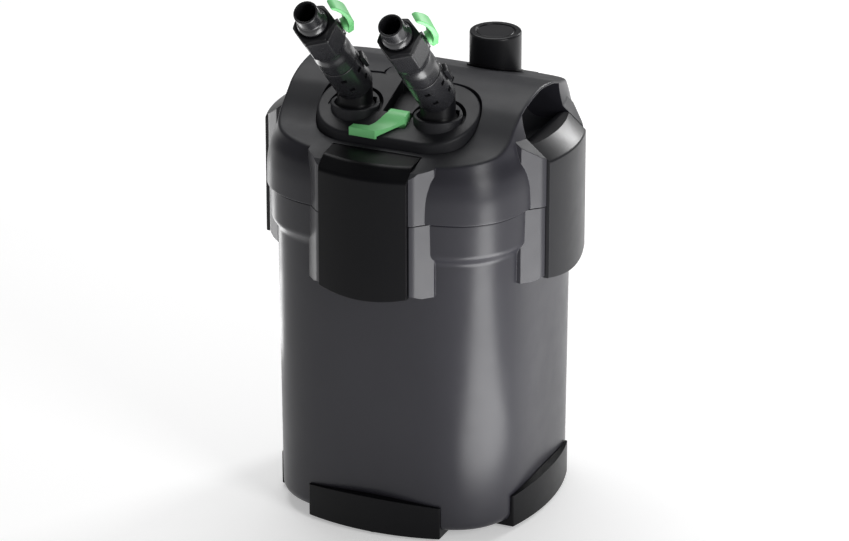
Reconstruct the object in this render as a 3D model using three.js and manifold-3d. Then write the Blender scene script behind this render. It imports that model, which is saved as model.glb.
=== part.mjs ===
// Canister filter for an aquarium: a square-round canister with three media baskets, a pump head
// that plugs into it, four clamps, a lift-off hose adapter with two angled valves, and a priming button.
// Millimetres, +Z up, the front faces -Y. The origin is on the floor under the canister's centre.
import * as THREE from 'three';
import { mergeVertices } from 'three/addons/utils/BufferGeometryUtils.js';
import Module from 'manifold-3d';

const wasm = await Module();
wasm.setup();

// ---------------------------------------------------------------- driving dimensions
const GAP = 0.3; // between pieces that touch
const SQUARENESS = 3.5; // exponent of the square-round plan
const PLAN_POINTS = 28;

const FOOT_UNDERSIDE = 2.5;
const BODY_BOTTOM = 7;
const COLLAR_START = 225;
const RIM = 257.7;
const SEAM = 258.3;
const BODY_HALF = 98; // half width under the collar
const COLLAR_HALF = 102.5;
const HEAD_HALF = 105; // half width of the head at the seam
const WALL = 3.3;

const BOSS_HALF_WIDTH = 50; // clip bosses in the middle of the four sides
const BOSS_BOTTOM = 200;
const CLAMP_HALF = 34.9;
const CLAMP_BULGE = 5.7;
const CLAMP_BOTTOM = 201;
const FRONT_PIVOT = { out: 90, z: 298.5, r: 5.4 };
const SIDE_PIVOT = { out: 98, z: 296.5, r: 8.7 };
const PIN_R = 2;

const FOOT = { half: 53.4, end: 95.2, bulge: 8.3, inner: 75, top: 28, arch: 3 };
const BUMPER = { r: 4.3, out: 95, stem: 2.5 };

// The deck is one humped profile from front (-Y) to back, as [y, z].
const DECK = [
  [-112, 298], [-101, 299.6], [-87, 303], [-70, 305.6], [-57, 312], [-45, 321.5], [-34.5, 328.5],
  [-15, 334], [0, 335.5], [20, 333], [34.5, 328.5], [60, 320], [80, 313], [98, 306.5], [112, 302],
];
const ROOF = 3.4; // thickness of the deck
const GRIP_ROOF = 2; // and of its edge over the grip recesses

const ADAPTER = { half: 62.5, front: -81.5, rear: -14.5, thick: 14 };
const ADAPTER_SLOPE = 0.346;
const SOCKET = { x: 33, y: -52, rim: 323.6, outer: 18, bore: 15.5, floor: 315 };
const DUCT = { outer: 14, bore: 11, top: 300 };
const SPIGOT = { outer: 10.4, bore: 8, bottom: 289 };

const VALVE_TILT = Math.PI / 4;
const VALVE_BEND = 337; // height where the valve leans over
const VALVE = {
  sleeve: [4, 44], body: [44.3, 95.5], nut: [95.8, 102.5], tip: 120,
  r: 14.4, neck: 10.6, stem: 12.7, bore: 7.6, ball: 9.4, ballAt: 79, hexTurn: 20.5,
};
const SPINDLE = new THREE.Vector3(0.73, 0.55, 0.41).normalize();

const PRIME = { x: 31, y: 60, r: 19.5, top: 350.5, travel: 18, wellBore: 20, wellR: 21.3, floor: 268 };
const MOTOR = { x: 0, y: 20, bore: 15.2, r: 18.8, top: 288 };
const BASKET = { half: 91.5, height: 69, wall: 2, pitch: 70.6, bottom: 15.5 };
const INTAKE = { x: 33, y: -52, r: 16.5, bore: 14.4 };

// ---------------------------------------------------------------- solids
const V2 = (x, y) => new THREE.Vector2(x, y);
const V3 = (x, y, z) => new THREE.Vector3(x, y, z);

function solid(geometry) {
  const bare = geometry.index ? geometry.toNonIndexed() : geometry.clone();
  for (const name of Object.keys(bare.attributes)) {
    if (name !== 'position') bare.deleteAttribute(name);
  }
  const merged = mergeVertices(bare, 1e-3);
  const vertProperties = new Float32Array(merged.attributes.position.array);
  const triVerts = new Uint32Array(merged.index.array);
  const build = () => new wasm.Manifold(new wasm.Mesh({ numProp: 3, vertProperties, triVerts }));
  const made = build();
  if (made.volume() > 0) return made;
  for (let i = 0; i < triVerts.length; i += 3) {
    [triVerts[i + 1], triVerts[i + 2]] = [triVerts[i + 2], triVerts[i + 1]];
  }
  return build();
}

function geometryOf(made) {
  const mesh = made.getMesh();
  const geometry = new THREE.BufferGeometry();
  geometry.setAttribute('position', new THREE.BufferAttribute(mesh.vertProperties, 3));
  geometry.setIndex(new THREE.BufferAttribute(mesh.triVerts, 1));
  geometry.computeVertexNormals();
  return geometry;
}

const join = (...solids) => solids.reduce((a, b) => a.add(b));
const cut = (first, ...others) => others.reduce((a, b) => a.subtract(b), first);

// A closed skin through outlines of equal point count, each at its own height.
function stack(drawn) {
  const clockwise = THREE.ShapeUtils.isClockWise(drawn[0].outline);
  const turn = (outline) => (clockwise ? [...outline].reverse() : outline);
  const layers = drawn.map(({ at, outline }) => ({ at, outline: turn(outline) }));
  const count = layers[0].outline.length;
  const positions = [];
  for (const { at, outline } of layers) {
    for (const p of outline) positions.push(p.x, p.y, at);
  }
  const index = [];
  for (let k = 0; k + 1 < layers.length; k += 1) {
    for (let i = 0; i < count; i += 1) {
      const a = k * count + i;
      const b = k * count + ((i + 1) % count);
      index.push(a, b, b + count, a, b + count, a + count);
    }
  }
  const cap = (layer, flip) => {
    for (const [a, b, c] of THREE.ShapeUtils.triangulateShape(layers[layer].outline, [])) {
      const base = layer * count;
      if (flip) index.push(base + a, base + c, base + b);
      else index.push(base + a, base + b, base + c);
    }
  };
  cap(0, true);
  cap(layers.length - 1, false);
  const geometry = new THREE.BufferGeometry();
  geometry.setAttribute('position', new THREE.Float32BufferAttribute(positions, 3));
  geometry.setIndex(index);
  return geometry;
}

// The square-round plan of half width `half`, counter-clockwise.
function squareRound(half) {
  const points = [];
  for (let i = 0; i < PLAN_POINTS; i += 1) {
    const t = (i / PLAN_POINTS) * Math.PI * 2;
    const bend = (v) => Math.sign(v) * Math.abs(v) ** (2 / SQUARENESS);
    points.push(V2(half * bend(Math.cos(t)), half * bend(Math.sin(t))));
  }
  return points;
}

// A square-round column given as [height, half width] stations.
const columnGeometry = (stations) =>
  stack(stations.map(([at, half]) => ({ at, outline: squareRound(half) })));
const column = (stations) => solid(columnGeometry(stations));

function extruded(points, low, high, holes = []) {
  const shape = new THREE.Shape(points);
  for (const hole of holes) shape.holes.push(new THREE.Path(hole));
  const geometry = new THREE.ExtrudeGeometry(shape, { depth: high - low, bevelEnabled: false });
  return geometry.translate(0, 0, low);
}
const prism = (points, low, high, holes) => solid(extruded(points, low, high, holes));

// An outline of (y, z) points carried along X, and one of (x, z) points carried along Y.
const CYCLE = new THREE.Matrix4().makeBasis(V3(0, 1, 0), V3(0, 0, 1), V3(1, 0, 0));
const alongX = (points, low, high) => solid(extruded(points, low, high).applyMatrix4(CYCLE));
const TO_FRONT = new THREE.Matrix4().makeBasis(V3(1, 0, 0), V3(0, 0, 1), V3(0, -1, 0));
const alongY = (points, low, high) => solid(extruded(points, -high, -low).applyMatrix4(TO_FRONT));

function box(x0, x1, y0, y1, z0, z1) {
  const geometry = new THREE.BoxGeometry(x1 - x0, y1 - y0, z1 - z0);
  return solid(geometry.translate((x0 + x1) / 2, (y0 + y1) / 2, (z0 + z1) / 2));
}

function rod(x, y, r, low, high, sides = 16) {
  const geometry = new THREE.CylinderGeometry(r, r, high - low, sides).rotateX(Math.PI / 2);
  return solid(geometry.translate(x, y, (low + high) / 2));
}

// A straight round bar between two points.
function bar(from, to, r, sides = 16) {
  const way = to.clone().sub(from);
  const geometry = new THREE.CylinderGeometry(r, r, way.length(), sides);
  geometry.applyQuaternion(new THREE.Quaternion().setFromUnitVectors(V3(0, 1, 0), way.normalize()));
  const middle = from.clone().add(to).multiplyScalar(0.5);
  return solid(geometry.translate(middle.x, middle.y, middle.z));
}

// A turned piece about the vertical line through (x, y), from [radius, height] points.
function turned(profile, x = 0, y = 0, sides = 16) {
  const geometry = new THREE.LatheGeometry(profile.map(([r, z]) => V2(r, z)), sides);
  return solid(geometry.rotateX(Math.PI / 2).translate(x, y, 0));
}
const tube = (x, y, outer, inner, low, high, sides = 16) =>
  turned([[inner, low], [outer, low], [outer, high], [inner, high], [inner, low]], x, y, sides);

function arc(cx, cy, r, from, to, steps) {
  const points = [];
  for (let i = 0; i <= steps; i += 1) {
    const a = THREE.MathUtils.degToRad(from + ((to - from) * i) / steps);
    points.push(V2(cx + r * Math.cos(a), cy + r * Math.sin(a)));
  }
  return points;
}

// Everything under the deck's hump, lowered by `drop`.
function underDeck(drop, half = 130) {
  const top = DECK.map(([y, z]) => V2(y, z - drop));
  return alongX([V2(-112, 150), V2(112, 150), ...top.reverse()], -half, half);
}

// ---------------------------------------------------------------- scene
const filter = new THREE.Group();
const PLASTIC = {
  body: { color: 0x4b4b50, roughness: 0.34, metalness: 0 },
  deck: { color: 0x3d3e42, roughness: 0.5, metalness: 0 },
  black: { color: 0x17171a, roughness: 0.3, metalness: 0 },
  gloss: { color: 0x0e0e10, roughness: 0.12, metalness: 0 },
  green: { color: 0x7fd68a, roughness: 0.4, metalness: 0 },
  rubber: { color: 0x1a1a1a, roughness: 0.8, metalness: 0 },
  inner: { color: 0x2c2c2f, roughness: 0.5, metalness: 0 },
  foam: { color: 0x2f4f6f, roughness: 1, metalness: 0 },
  floss: { color: 0xe9ebe6, roughness: 1, metalness: 0 },
  ceramic: { color: 0xd8cfc0, roughness: 0.8, metalness: 0 },
  steel: { color: 0xa8abb0, roughness: 0.3, metalness: 1 },
  ferrite: { color: 0x2b2b2e, roughness: 0.5, metalness: 0.6 },
};

function add(name, made, look, parent = filter) {
  const geometry = made.isBufferGeometry ? made : geometryOf(made);
  const mesh = new THREE.Mesh(geometry, new THREE.MeshStandardMaterial(PLASTIC[look]));
  mesh.name = name;
  parent.add(mesh);
  return mesh;
}

// The four sides in turn: front, right, back, left.
const SIDES = ['front', 'right', 'back', 'left'];

// ---------------------------------------------------------------- canister
const OUTER = [
  [BODY_BOTTOM, 89.5], [9, 93.3], [13, 95.8], [40, 96.7], [COLLAR_START, BODY_HALF],
  [231.5, COLLAR_HALF - 0.3], [RIM, COLLAR_HALF],
];
const INNER = [[11.5, 90], [15, 92.4], [230, 94.8], [233.5, 98.6], [RIM + 5, 98.6]];

function bossOutline(outline) {
  const mirrored = outline.map((p) => V2(-p.x, p.y)).reverse();
  return [...mirrored, ...outline];
}

// Clip bosses of the canister: two rails with a channel between them for the clamp's foot.
function canisterBosses() {
  const half = bossOutline([
    V2(35.4, -103), V2(35.4, -111.6), V2(38.6, -109.8), V2(BOSS_HALF_WIDTH, -98), V2(BOSS_HALF_WIDTH, -88),
  ]);
  const side = extruded(half, BOSS_BOTTOM, RIM);
  const foot = alongX([V2(-120, 190), V2(-120, 207), V2(-104, 199.6), V2(-90, 190)], -60, 60);
  return cut(solid(side), foot);
}

function turnedQuarter(made, quarter) {
  const geometry = geometryOf(made).rotateZ((quarter * Math.PI) / 2);
  return solid(geometry);
}

function canisterShell() {
  const boss = canisterBosses();
  const bosses = SIDES.map((_, k) => turnedQuarter(boss, k));
  const centreBoss = rod(0, 0, 15, FOOT_UNDERSIDE, 12);
  const stem = rod(0, 0, 3.1, 0, 6.5);
  return cut(join(column(OUTER), ...bosses, centreBoss), column(INNER), stem);
}
add('canister_shell', canisterShell(), 'body');

// ---------------------------------------------------------------- feet and bumpers
function footSolid() {
  const { half, end, bulge, inner, top, arch } = FOOT;
  const r = (half * half + bulge * bulge) / (2 * bulge);
  const centre = -(end + bulge - r);
  const sweep = THREE.MathUtils.radToDeg(Math.asin(half / r));
  const plan = [V2(half, -inner), V2(-half, -inner), ...arc(0, centre, r, 270 - sweep, 270 + sweep, 10)];
  const block = prism(plan.reverse(), FOOT_UNDERSIDE, top + arch);
  const archR = (half * half + arch * arch) / (2 * arch);
  const archSweep = THREE.MathUtils.radToDeg(Math.asin(half / archR));
  const under = [
    V2(-half - 1, 0), V2(half + 1, 0),
    ...arc(0, top + arch - archR, archR, 90 - archSweep, 90 + archSweep, 8),
  ];
  const low = cut(block, box(-80, 80, -120, -60, top + arch - 0.001, 60));
  const arched = low.intersect(alongY(under, -130, -60));
  const clear = column(OUTER.slice(0, 5).map(([z, h], i) => [i === 0 ? z - GAP : z, h + 0.35]));
  return cut(arched, clear, rod(0, -BUMPER.out, BUMPER.stem + GAP, 0, 5.5, 12));
}
const footGeometry = geometryOf(footSolid());
SIDES.forEach((side, k) => {
  add('foot_' + side, footGeometry, 'black').rotation.z = (k * Math.PI) / 2;
});

// A round pad with a stem that plugs into the piece above it.
function bumperProfile(r, stem) {
  const shoulder = FOOT_UNDERSIDE - GAP;
  return [[0, 0], [r - 0.6, 0], [r, 0.6], [r, shoulder], [stem, shoulder], [stem, 5.1], [0, 5.1]];
}
const footPad = turned(bumperProfile(BUMPER.r, BUMPER.stem), 0, -BUMPER.out);
SIDES.forEach((side, k) => {
  add('bumper_' + side, footPad, 'rubber').rotation.z = (k * Math.PI) / 2;
});
add('bumper_centre', turned(bumperProfile(11, 2.7)), 'rubber');

// ---------------------------------------------------------------- baskets and media
function basketSolid(bottom) {
  const { half, height, wall } = BASKET;
  const top = bottom + height;
  const shell = cut(
    column([[bottom, half - 1.6], [top, half]]),
    column([[bottom + 2.5, half - 4.4], [top + 3, half - wall]]),
  );
  const well = rod(INTAKE.x, INTAKE.y, INTAKE.r, bottom, top - 0.5);
  const hole = rod(INTAKE.x, INTAKE.y, INTAKE.bore, bottom - 1, top + 3);
  const slots = [];
  for (let y = -60; y <= 60; y += 40) {
    for (const side of [-1, 1]) {
      const nearWell = side > 0 && Math.abs(y - INTAKE.y) < 22;
      const [near, far] = side > 0 ? [8, 66] : [-66, -8];
      if (!nearWell) slots.push(box(near, far, y - 9, y + 9, bottom - 1, bottom + 3));
    }
  }
  return cut(join(shell, well), hole, ...slots);
}

function mediaSolid(bottom, low, high) {
  const block = column([[bottom + low, BASKET.half - 5.4], [bottom + high, BASKET.half - 3.4]]);
  return cut(block, rod(INTAKE.x, INTAKE.y, INTAKE.r + 0.6, 0, 300));
}

const BASKETS = [
  { name: 'basket_lower', media: [['coarse_foam', 4, 60, 'foam']] },
  { name: 'basket_middle', media: [['ceramic_media', 4, 58, 'ceramic']] },
  { name: 'basket_upper', media: [['fine_foam', 4, 44, 'foam'], ['floss_pad', 44.6, 60, 'floss']] },
];
BASKETS.forEach(({ name, media }, level) => {
  const bottom = BASKET.bottom + level * BASKET.pitch;
  add(name, basketSolid(bottom), 'inner');
  for (const [node, low, high, look] of media) add(node, mediaSolid(bottom, low + 2.6, high), look);
});

// ---------------------------------------------------------------- head: clamp pockets
// Section of a clamp in (out, z), shifted outward by `bow` where the plate bulges.
function frontClampSection(bow, bottom) {
  const { out, z, r } = FRONT_PIVOT;
  return [
    V2(out - 3, z + 4.5), V2(104 + bow, 301.7), V2(114 + bow, 293), V2(114 + bow, bottom),
    V2(109.8 + bow * 0.85, bottom), V2(104.2, bottom + 4), V2(104.2, bottom + 9),
    V2(109.6 + bow * 0.6, bottom + 14), V2(109.6 + bow * 0.6, 288), V2(103.6 + bow * 0.6, 295),
    ...arc(out, z, r, -40, -200, 5),
  ];
}

function sideClampSection(bow, bottom) {
  const { out, z, r } = SIDE_PIVOT;
  return [
    V2(100 + bow, 305), V2(114.4 + bow, 293), V2(114.4 + bow, bottom),
    V2(109.8 + bow * 0.85, bottom), V2(104.2, bottom + 4), V2(104.2, bottom + 9),
    V2(109.6 + bow * 0.6, bottom + 14), V2(109.6 + bow * 0.6, 286), V2(106.4, 290),
    ...arc(out, z, r, -38, -272, 10),
  ];
}

// The clamp's body as layers across its width; the section lies in (out, z) and the width runs along Y.
function clampSolid(section, pivot) {
  const layers = [];
  const steps = 8;
  for (let i = 0; i <= steps; i += 1) {
    const lateral = -CLAMP_HALF + (2 * CLAMP_HALF * i) / steps;
    const rise = 1 - (lateral / CLAMP_HALF) ** 2;
    const outline = section(CLAMP_BULGE * rise, CLAMP_BOTTOM - 4 * rise);
    layers.push({ at: lateral, outline });
  }
  const geometry = stack(layers).applyMatrix4(TO_FRONT);
  const pinHole = bar(V3(pivot.out, -60, pivot.z), V3(pivot.out, 60, pivot.z), PIN_R + GAP, 12);
  return cut(solid(geometry), pinHole);
}

const CLAMPS = {
  front: { section: frontClampSection, pivot: FRONT_PIVOT, turn: -90 },
  right: { section: sideClampSection, pivot: SIDE_PIVOT, turn: 0 },
  back: { section: frontClampSection, pivot: FRONT_PIVOT, turn: 90 },
  left: { section: sideClampSection, pivot: SIDE_PIVOT, turn: 180 },
};
const about = (made, degrees) => solid(geometryOf(made).rotateZ(THREE.MathUtils.degToRad(degrees)));

// Room for a clamp in the cover, and the same room with walls round it, both drawn for the +X side.
function frontPocket(grow) {
  const { out, z, r } = FRONT_PIVOT;
  const half = CLAMP_HALF + GAP + 0.1 + grow;
  const knuckle = bar(V3(out, -half, z), V3(out, half, z), r + 0.5 + grow, 16);
  const room = alongY([
    V2(out - 3.3 - grow, 330), V2(out - 3.3 - grow, z + 3), V2(out + 2, z - 4.4 - grow),
    V2(103.4, 294.4 - grow), V2(109 - grow, 287.4 - grow), V2(109 - grow, 240), V2(140, 240), V2(140, 330),
  ], -half, half);
  return join(knuckle, room);
}

function sidePocket(grow) {
  const { out, z, r } = SIDE_PIVOT;
  const half = CLAMP_HALF + GAP + 0.1 + grow;
  const knuckle = bar(V3(out, -half, z), V3(out, half, z), r + 0.5 + grow, 16);
  const room = alongY([
    V2(out - 6, 330), V2(out - 6, z + 6), V2(out, z), V2(106, 289.4 - grow),
    V2(109 - grow, 285.6 - grow), V2(109 - grow, 240), V2(140, 240), V2(140, 330),
  ], -half, half);
  return join(knuckle, room);
}

// Finger recess over a side clamp: a concave floor, a back wall and a roof under the deck.
function gripRecess(grow) {
  const floor = [V2(64, 309), V2(66, 303), V2(71, 298.8), V2(78, 297), V2(89, 298.5)];
  const half = CLAMP_HALF + GAP + 0.1 + grow;
  const outline = [
    V2(64 - grow, 340), ...floor.map((p, i) => V2(p.x - (i < 2 ? grow : 0), p.y - grow)),
    V2(92, 299.5), V2(140, 299.5), V2(140, 340),
  ];
  return alongY(outline.reverse(), -half, half).intersect(underDeck(GRIP_ROOF - grow));
}

// ---------------------------------------------------------------- head: adapter
const adapterHeight = (y) => SOCKET.rim - 2.4 + (y - SOCKET.y) * ADAPTER_SLOPE;

// Plan of the adapter: a stadium with a tongue at the rear, grown by `grow`.
function adapterPlan(grow, low, high) {
  const r = (ADAPTER.rear - ADAPTER.front) / 2;
  const y = (ADAPTER.rear + ADAPTER.front) / 2;
  const x = ADAPTER.half - r;
  const stadium = [...arc(x, y, r + grow, -90, 90, 10), ...arc(-x, y, r + grow, 90, 270, 10)];
  const tongue = box(-27 - grow, 27 + grow, -20, -5 + grow, low, high);
  return join(prism(stadium, low, high), tongue);
}

// Half-space above the sloped adapter plane shifted by `shift`, as a block.
function aboveSlope(shift) {
  const at = (y) => adapterHeight(y) + shift;
  return alongX([V2(-100, at(-100)), V2(20, at(20)), V2(20, 420), V2(-100, 420)], -90, 90);
}

function adapterPlate() {
  let plate = adapterPlan(0, 280, 345).intersect(aboveSlope(-ADAPTER.thick));
  plate = cut(plate, aboveSlope(0));
  plate = plate.intersect(underDeck(-6.6));
  for (const side of [-1, 1]) {
    const { x, y, rim, outer, bore, floor } = SOCKET;
    const pocket = rod(side * x, y, outer + 2.6, rim - 4, 345, 16);
    const boss = rod(side * x, y, outer, 290, rim, 16).intersect(aboveSlope(-ADAPTER.thick));
    const spigot = rod(side * x, y, SPIGOT.outer, SPIGOT.bottom, floor, 16);
    plate = join(cut(plate, cut(pocket, rod(side * x, y, outer - 0.1, 300, 345, 16))), boss, spigot);
    plate = cut(plate, rod(side * x, y, bore, floor, 345, 16));
    plate = cut(plate, rod(side * x, y, SPIGOT.bore, 280, floor + 1, 16));
  }
  const well = box(-10, 10.5, -54, -17.5, 290, 345).intersect(aboveSlope(-WELL_DEPTH));
  return cut(plate, well, leverRoom());
}

const WELL_DEPTH = 10;
const LEVER_PIVOT = { y: -59.6, z: 315.8 };
const LEVER_BLOCK = { x: [-2.4, 12.7], y: [-64.4, -56.4], z: [312.6, 324.4] };

// Room for the release lever's block, with the space that its corners turn through.
function leverRoom() {
  return box(-3, 14, LEVER_PIVOT.y - 9, LEVER_PIVOT.y + 7.6, 309.8, 345);
}

// Release lever: a block on the pin, an arm that drops over the plate and a finger tab with a lip.
function releaseLever() {
  const { x, y, z } = LEVER_BLOCK;
  const plan = [
    V2(x[1], -64), V2(x[1], y[1]), V2(x[0], y[1]), V2(x[0], -62.4), V2(-11.5, -75.5), V2(-23.5, -76.5),
    V2(-24.5, -82.5), V2(-3.5, -83.2), V2(4.6, -73.5),
  ];
  const over = (at) => V2(at, adapterHeight(at) + 0.7);
  const side = [
    over(y[1]), over(-82.1), V2(-82.1, 309.8), V2(-84, 309.8), V2(-84, 316.2), V2(-76, 316.6),
    V2(-72, 317.5), V2(-69, 319.1), V2(-65.5, 321.9), V2(-63, 323.7), V2(-60.5, z[1]), V2(y[1], z[1]),
  ];
  const arm = prism(plan.reverse(), 305, 330).intersect(alongX(side.reverse(), -30, 16));
  const hole = bar(V3(-10, LEVER_PIVOT.y, LEVER_PIVOT.z), V3(20, LEVER_PIVOT.y, LEVER_PIVOT.z), 1.8, 12);
  return cut(join(box(...x, ...y, z[0], 322), arm), hole);
}

const pivotHole = (r, low, high) =>
  bar(V3(low, LEVER_PIVOT.y, LEVER_PIVOT.z), V3(high, LEVER_PIVOT.y, LEVER_PIVOT.z), r, 12);

// ---------------------------------------------------------------- head: cover
function bossesOfCover() {
  const plan = bossOutline([V2(38.6, -110), V2(BOSS_HALF_WIDTH, -98), V2(BOSS_HALF_WIDTH, -86)]);
  const rimmed = bossOutline([V2(35.3, -112), V2(38.6, -110), V2(38.6, -86)]);
  const block = join(prism(plan, SEAM, 330), prism(rimmed, SEAM, 330));
  const low = SEAM - 1;
  const chamfer = (z) => alongX([V2(-116, low), V2(-70, low), V2(-70, z + 36.4), V2(-116, z - 1.4)], -60, 60);
  const front = block.intersect(chamfer(293));
  const side = block.intersect(chamfer(293.4));
  return [front, turnedQuarter(side, 1), turnedQuarter(front, 2), turnedQuarter(side, 3)];
}

const HEAD = [
  [SEAM, HEAD_HALF], [274, 104.6], [288, 102.6], [301, 98], [308, 96.6], [321, 93.6], [340, 92],
];

const GLAND = { x: -64, z: 276, r: 7 };

function headHousing() {
  const outer = join(column(HEAD), ...bossesOfCover()).intersect(underDeck(0));
  const front = frontPocket(0);
  const side = sidePocket(0);
  const recess = gripRecess(0);
  const adapterRoom = adapterPlan(0.5, 280, 345).intersect(aboveSlope(-ADAPTER.thick - 0.5));
  const cuts = [
    about(front, -90), side, about(front, 90), about(side, 180), recess, about(recess, 180), adapterRoom,
  ];
  const walls = [
    about(frontPocket(3.2), -90), sidePocket(3), about(frontPocket(3.2), 90), about(sidePocket(3), 180),
    gripRecess(2.6), about(gripRecess(2.6), 180),
    adapterPlan(3.5, 270, 345).intersect(aboveSlope(-ADAPTER.thick - 3.5)),
    rod(SOCKET.x, SOCKET.y, 15, 296, 330), rod(-SOCKET.x, SOCKET.y, 15, 296, 330),
  ];
  const room = HEAD.map(([z, half]) => [z === SEAM ? z - 2 : z, half - WALL]);
  const cavity = cut(column(room).intersect(underDeck(ROOF)), ...walls);
  let cover = cut(outer, cavity, ...cuts);
  for (const x of [-SOCKET.x, SOCKET.x]) cover = cut(cover, rod(x, SOCKET.y, DUCT.outer + GAP, 280, 330));
  for (const { pivot, turn } of Object.values(CLAMPS)) {
    const reach = CLAMP_HALF + 2.6;
    const hole = bar(V3(pivot.out, -reach, pivot.z), V3(pivot.out, reach, pivot.z), PIN_R + GAP, 12);
    cover = cut(cover, about(hole, turn));
  }
  const glandHole = bar(V3(GLAND.x, 70, GLAND.z), V3(GLAND.x, 125, GLAND.z), GLAND.r + GAP, 16);
  return cut(cover, rod(PRIME.x, PRIME.y, PRIME.wellR + GAP, 290, 345, 16), glandHole);
}

const head = new THREE.Group();
filter.add(head);
add('head_housing', headHousing(), 'deck', head);

// ---------------------------------------------------------------- head: wet side
function headBase() {
  const plug = cut(
    column([[236, 96.6], [239, 97.8], [258, 97.8]]),
    column([[233, 91.5], [252, 91.5]]),
  );
  const flange = column([[RIM + GAP + 0.2, 101.2], [260.6, 101.2]]);
  const sealGroove = cut(column([[243.4, 110], [247.6, 110]]), column([[243.4, 94.6], [247.6, 94.6]]));
  const ducts = [-1, 1].map((side) => rod(side * SOCKET.x, SOCKET.y, DUCT.outer, 258, DUCT.top));
  const inlet = rod(INTAKE.x, INTAKE.y, 17, 240, 256);
  const well = rod(MOTOR.x, MOTOR.y, MOTOR.r, 258, MOTOR.top + 3);
  const made = cut(join(plug, flange, ...ducts, well, inlet), sealGroove);
  return cut(
    made,
    rod(SOCKET.x, SOCKET.y, DUCT.bore, 230, 310), rod(-SOCKET.x, SOCKET.y, DUCT.bore, 230, 310),
    rod(INTAKE.x, INTAKE.y, INTAKE.bore, 230, 254), rod(MOTOR.x, MOTOR.y, MOTOR.bore, 230, MOTOR.top),
  );
}
add('head_base', headBase(), 'inner', head);
const seal = cut(column([[243.8, 98.15], [247.2, 98.15]]), column([[243, 94.95], [248, 94.95]]));
add('head_seal', seal, 'rubber', head);

const { x: mx, y: my } = MOTOR;
add('stator', tube(mx, my, 27.6, MOTOR.r + GAP, 262, 284), 'steel', head);
add('bush_upper', tube(mx, my, 5, 1.9, 283.6, MOTOR.top - GAP), 'rubber', head);
add('shaft', rod(mx, my, 1.55, 240.5, 287.2, 12), 'ceramic', head);

// Impeller: magnet on top, a disc and straight vanes below.
const impeller = new THREE.Group();
head.add(impeller);
add('rotor_magnet', tube(mx, my, 14.2, 1.9, 256.5, 283.2, 16), 'ferrite', impeller);
function impellerWheel() {
  const vanes = [];
  for (let k = 0; k < 5; k += 1) {
    const vane = new THREE.BoxGeometry(15.5, 1.6, 6).translate(11.2, 0, 245.2).rotateZ((k * 2 * Math.PI) / 5);
    vanes.push(solid(vane.translate(mx, my, 0)));
  }
  const hub = rod(mx, my, 5, 242.2, 256.2, 16);
  const wheel = join(hub, rod(mx, my, 19, 248, 249.6, 16), ...vanes);
  return cut(wheel, rod(mx, my, 1.9, 230, 260, 12));
}
add('impeller_wheel', impellerWheel(), 'inner', impeller);

// Volute: a cup round the wheel with a channel to the outlet duct, closed above by the base's plate.
function volute(grow, low, high) {
  const channel = new THREE.BoxGeometry(20 + grow * 2, Math.hypot(SOCKET.x, my - SOCKET.y), high - low);
  const lean = Math.atan2(-SOCKET.x - mx, my - SOCKET.y);
  channel.rotateZ(lean).translate((mx - SOCKET.x) / 2, (my + SOCKET.y) / 2, (low + high) / 2);
  const round = rod(mx, my, 24.5 + grow, low, high);
  return join(round, rod(-SOCKET.x, SOCKET.y, 12.5 + grow, low, high), solid(channel));
}
function impellerCover() {
  const cup = cut(volute(2.4, 237.6, 251.7), volute(0, 240, 260), rod(mx, my, 11, 230, 245, 16));
  const spider = join(
    box(mx - 12, mx + 12, my - 1.5, my + 1.5, 237.6, 240.1),
    box(mx - 1.5, mx + 1.5, my - 12, my + 12, 237.6, 240.1),
    rod(mx, my, 5.5, 237.6, 241.6, 16),
  );
  return cut(join(cup, spider), rod(mx, my, 3.9, 238.6, 250, 16));
}
add('impeller_cover', impellerCover(), 'inner', head);
const lowerBush = [[0, 238.9], [3.6, 238.9], [3.6, 241.6], [1.85, 241.6], [1.85, 240.2], [0, 240.2]];
add('bush_lower', turned(lowerBush, mx, my), 'rubber', head);
add('intake_coupling', tube(INTAKE.x, INTAKE.y, INTAKE.bore - GAP, 11.4, 221, 253.6), 'inner', head);

// ---------------------------------------------------------------- head: priming pump
function primeWell() {
  const { x, y, wellBore, wellR, floor } = PRIME;
  const inside = [[wellBore, 340], [wellBore, floor + 3], [0, floor + 3]];
  const cup = turned([[0, floor], [wellR, floor], [wellR, 340], ...inside], x, y);
  return cup.intersect(underDeck(-1.6));
}
add('prime_well', primeWell(), 'black', head);

const button = new THREE.Group();
head.add(button);
function primeButton() {
  const { x, y, r, top } = PRIME;
  return turned([
    [0, top - 0.8], [14.4, top - 0.8], [14.7, top], [r - 1.2, top], [r, top - 1.2], [r, 306], [r - 2.2, 306],
    [r - 2.2, top - 3], [0, top - 3],
  ], x, y);
}
add('prime_button', primeButton(), 'black', button);
const piston = [
  [0, PRIME.top - 3.3], [5, PRIME.top - 3.3], [5, 304.6], [19.2, 304.6], [19.2, 300.6], [0, 300.6],
];
add('prime_piston', turned(piston, PRIME.x, PRIME.y), 'inner', button);

// Return spring between the well's floor and the piston.
class Coil extends THREE.Curve {
  getPoint(t) {
    const angle = t * Math.PI * 2 * 4;
    return V3(11 * Math.cos(angle), 11 * Math.sin(angle), 273 + t * 25.4);
  }
}
const wire = new THREE.Shape(arc(0, 0, 1, 0, 288, 4));
const wound = { extrudePath: new Coil(), steps: 30, bevelEnabled: false };
const springGeometry = new THREE.ExtrudeGeometry(wire, wound);
add('prime_spring', solid(springGeometry.translate(PRIME.x, PRIME.y, 0)), 'steel', head);

// ---------------------------------------------------------------- head: gland, pins, clamps
const glandProfile = [
  [3.9, 88], [GLAND.r, 88], [GLAND.r, 102.6], [9.5, 102.6], [9.5, 105], [6, 112], [3.9, 112], [3.9, 88],
];
const gland = geometryOf(turned(glandProfile)).rotateX(-Math.PI / 2);
add('cable_gland', gland.translate(GLAND.x, 0, GLAND.z), 'rubber', head);

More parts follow.
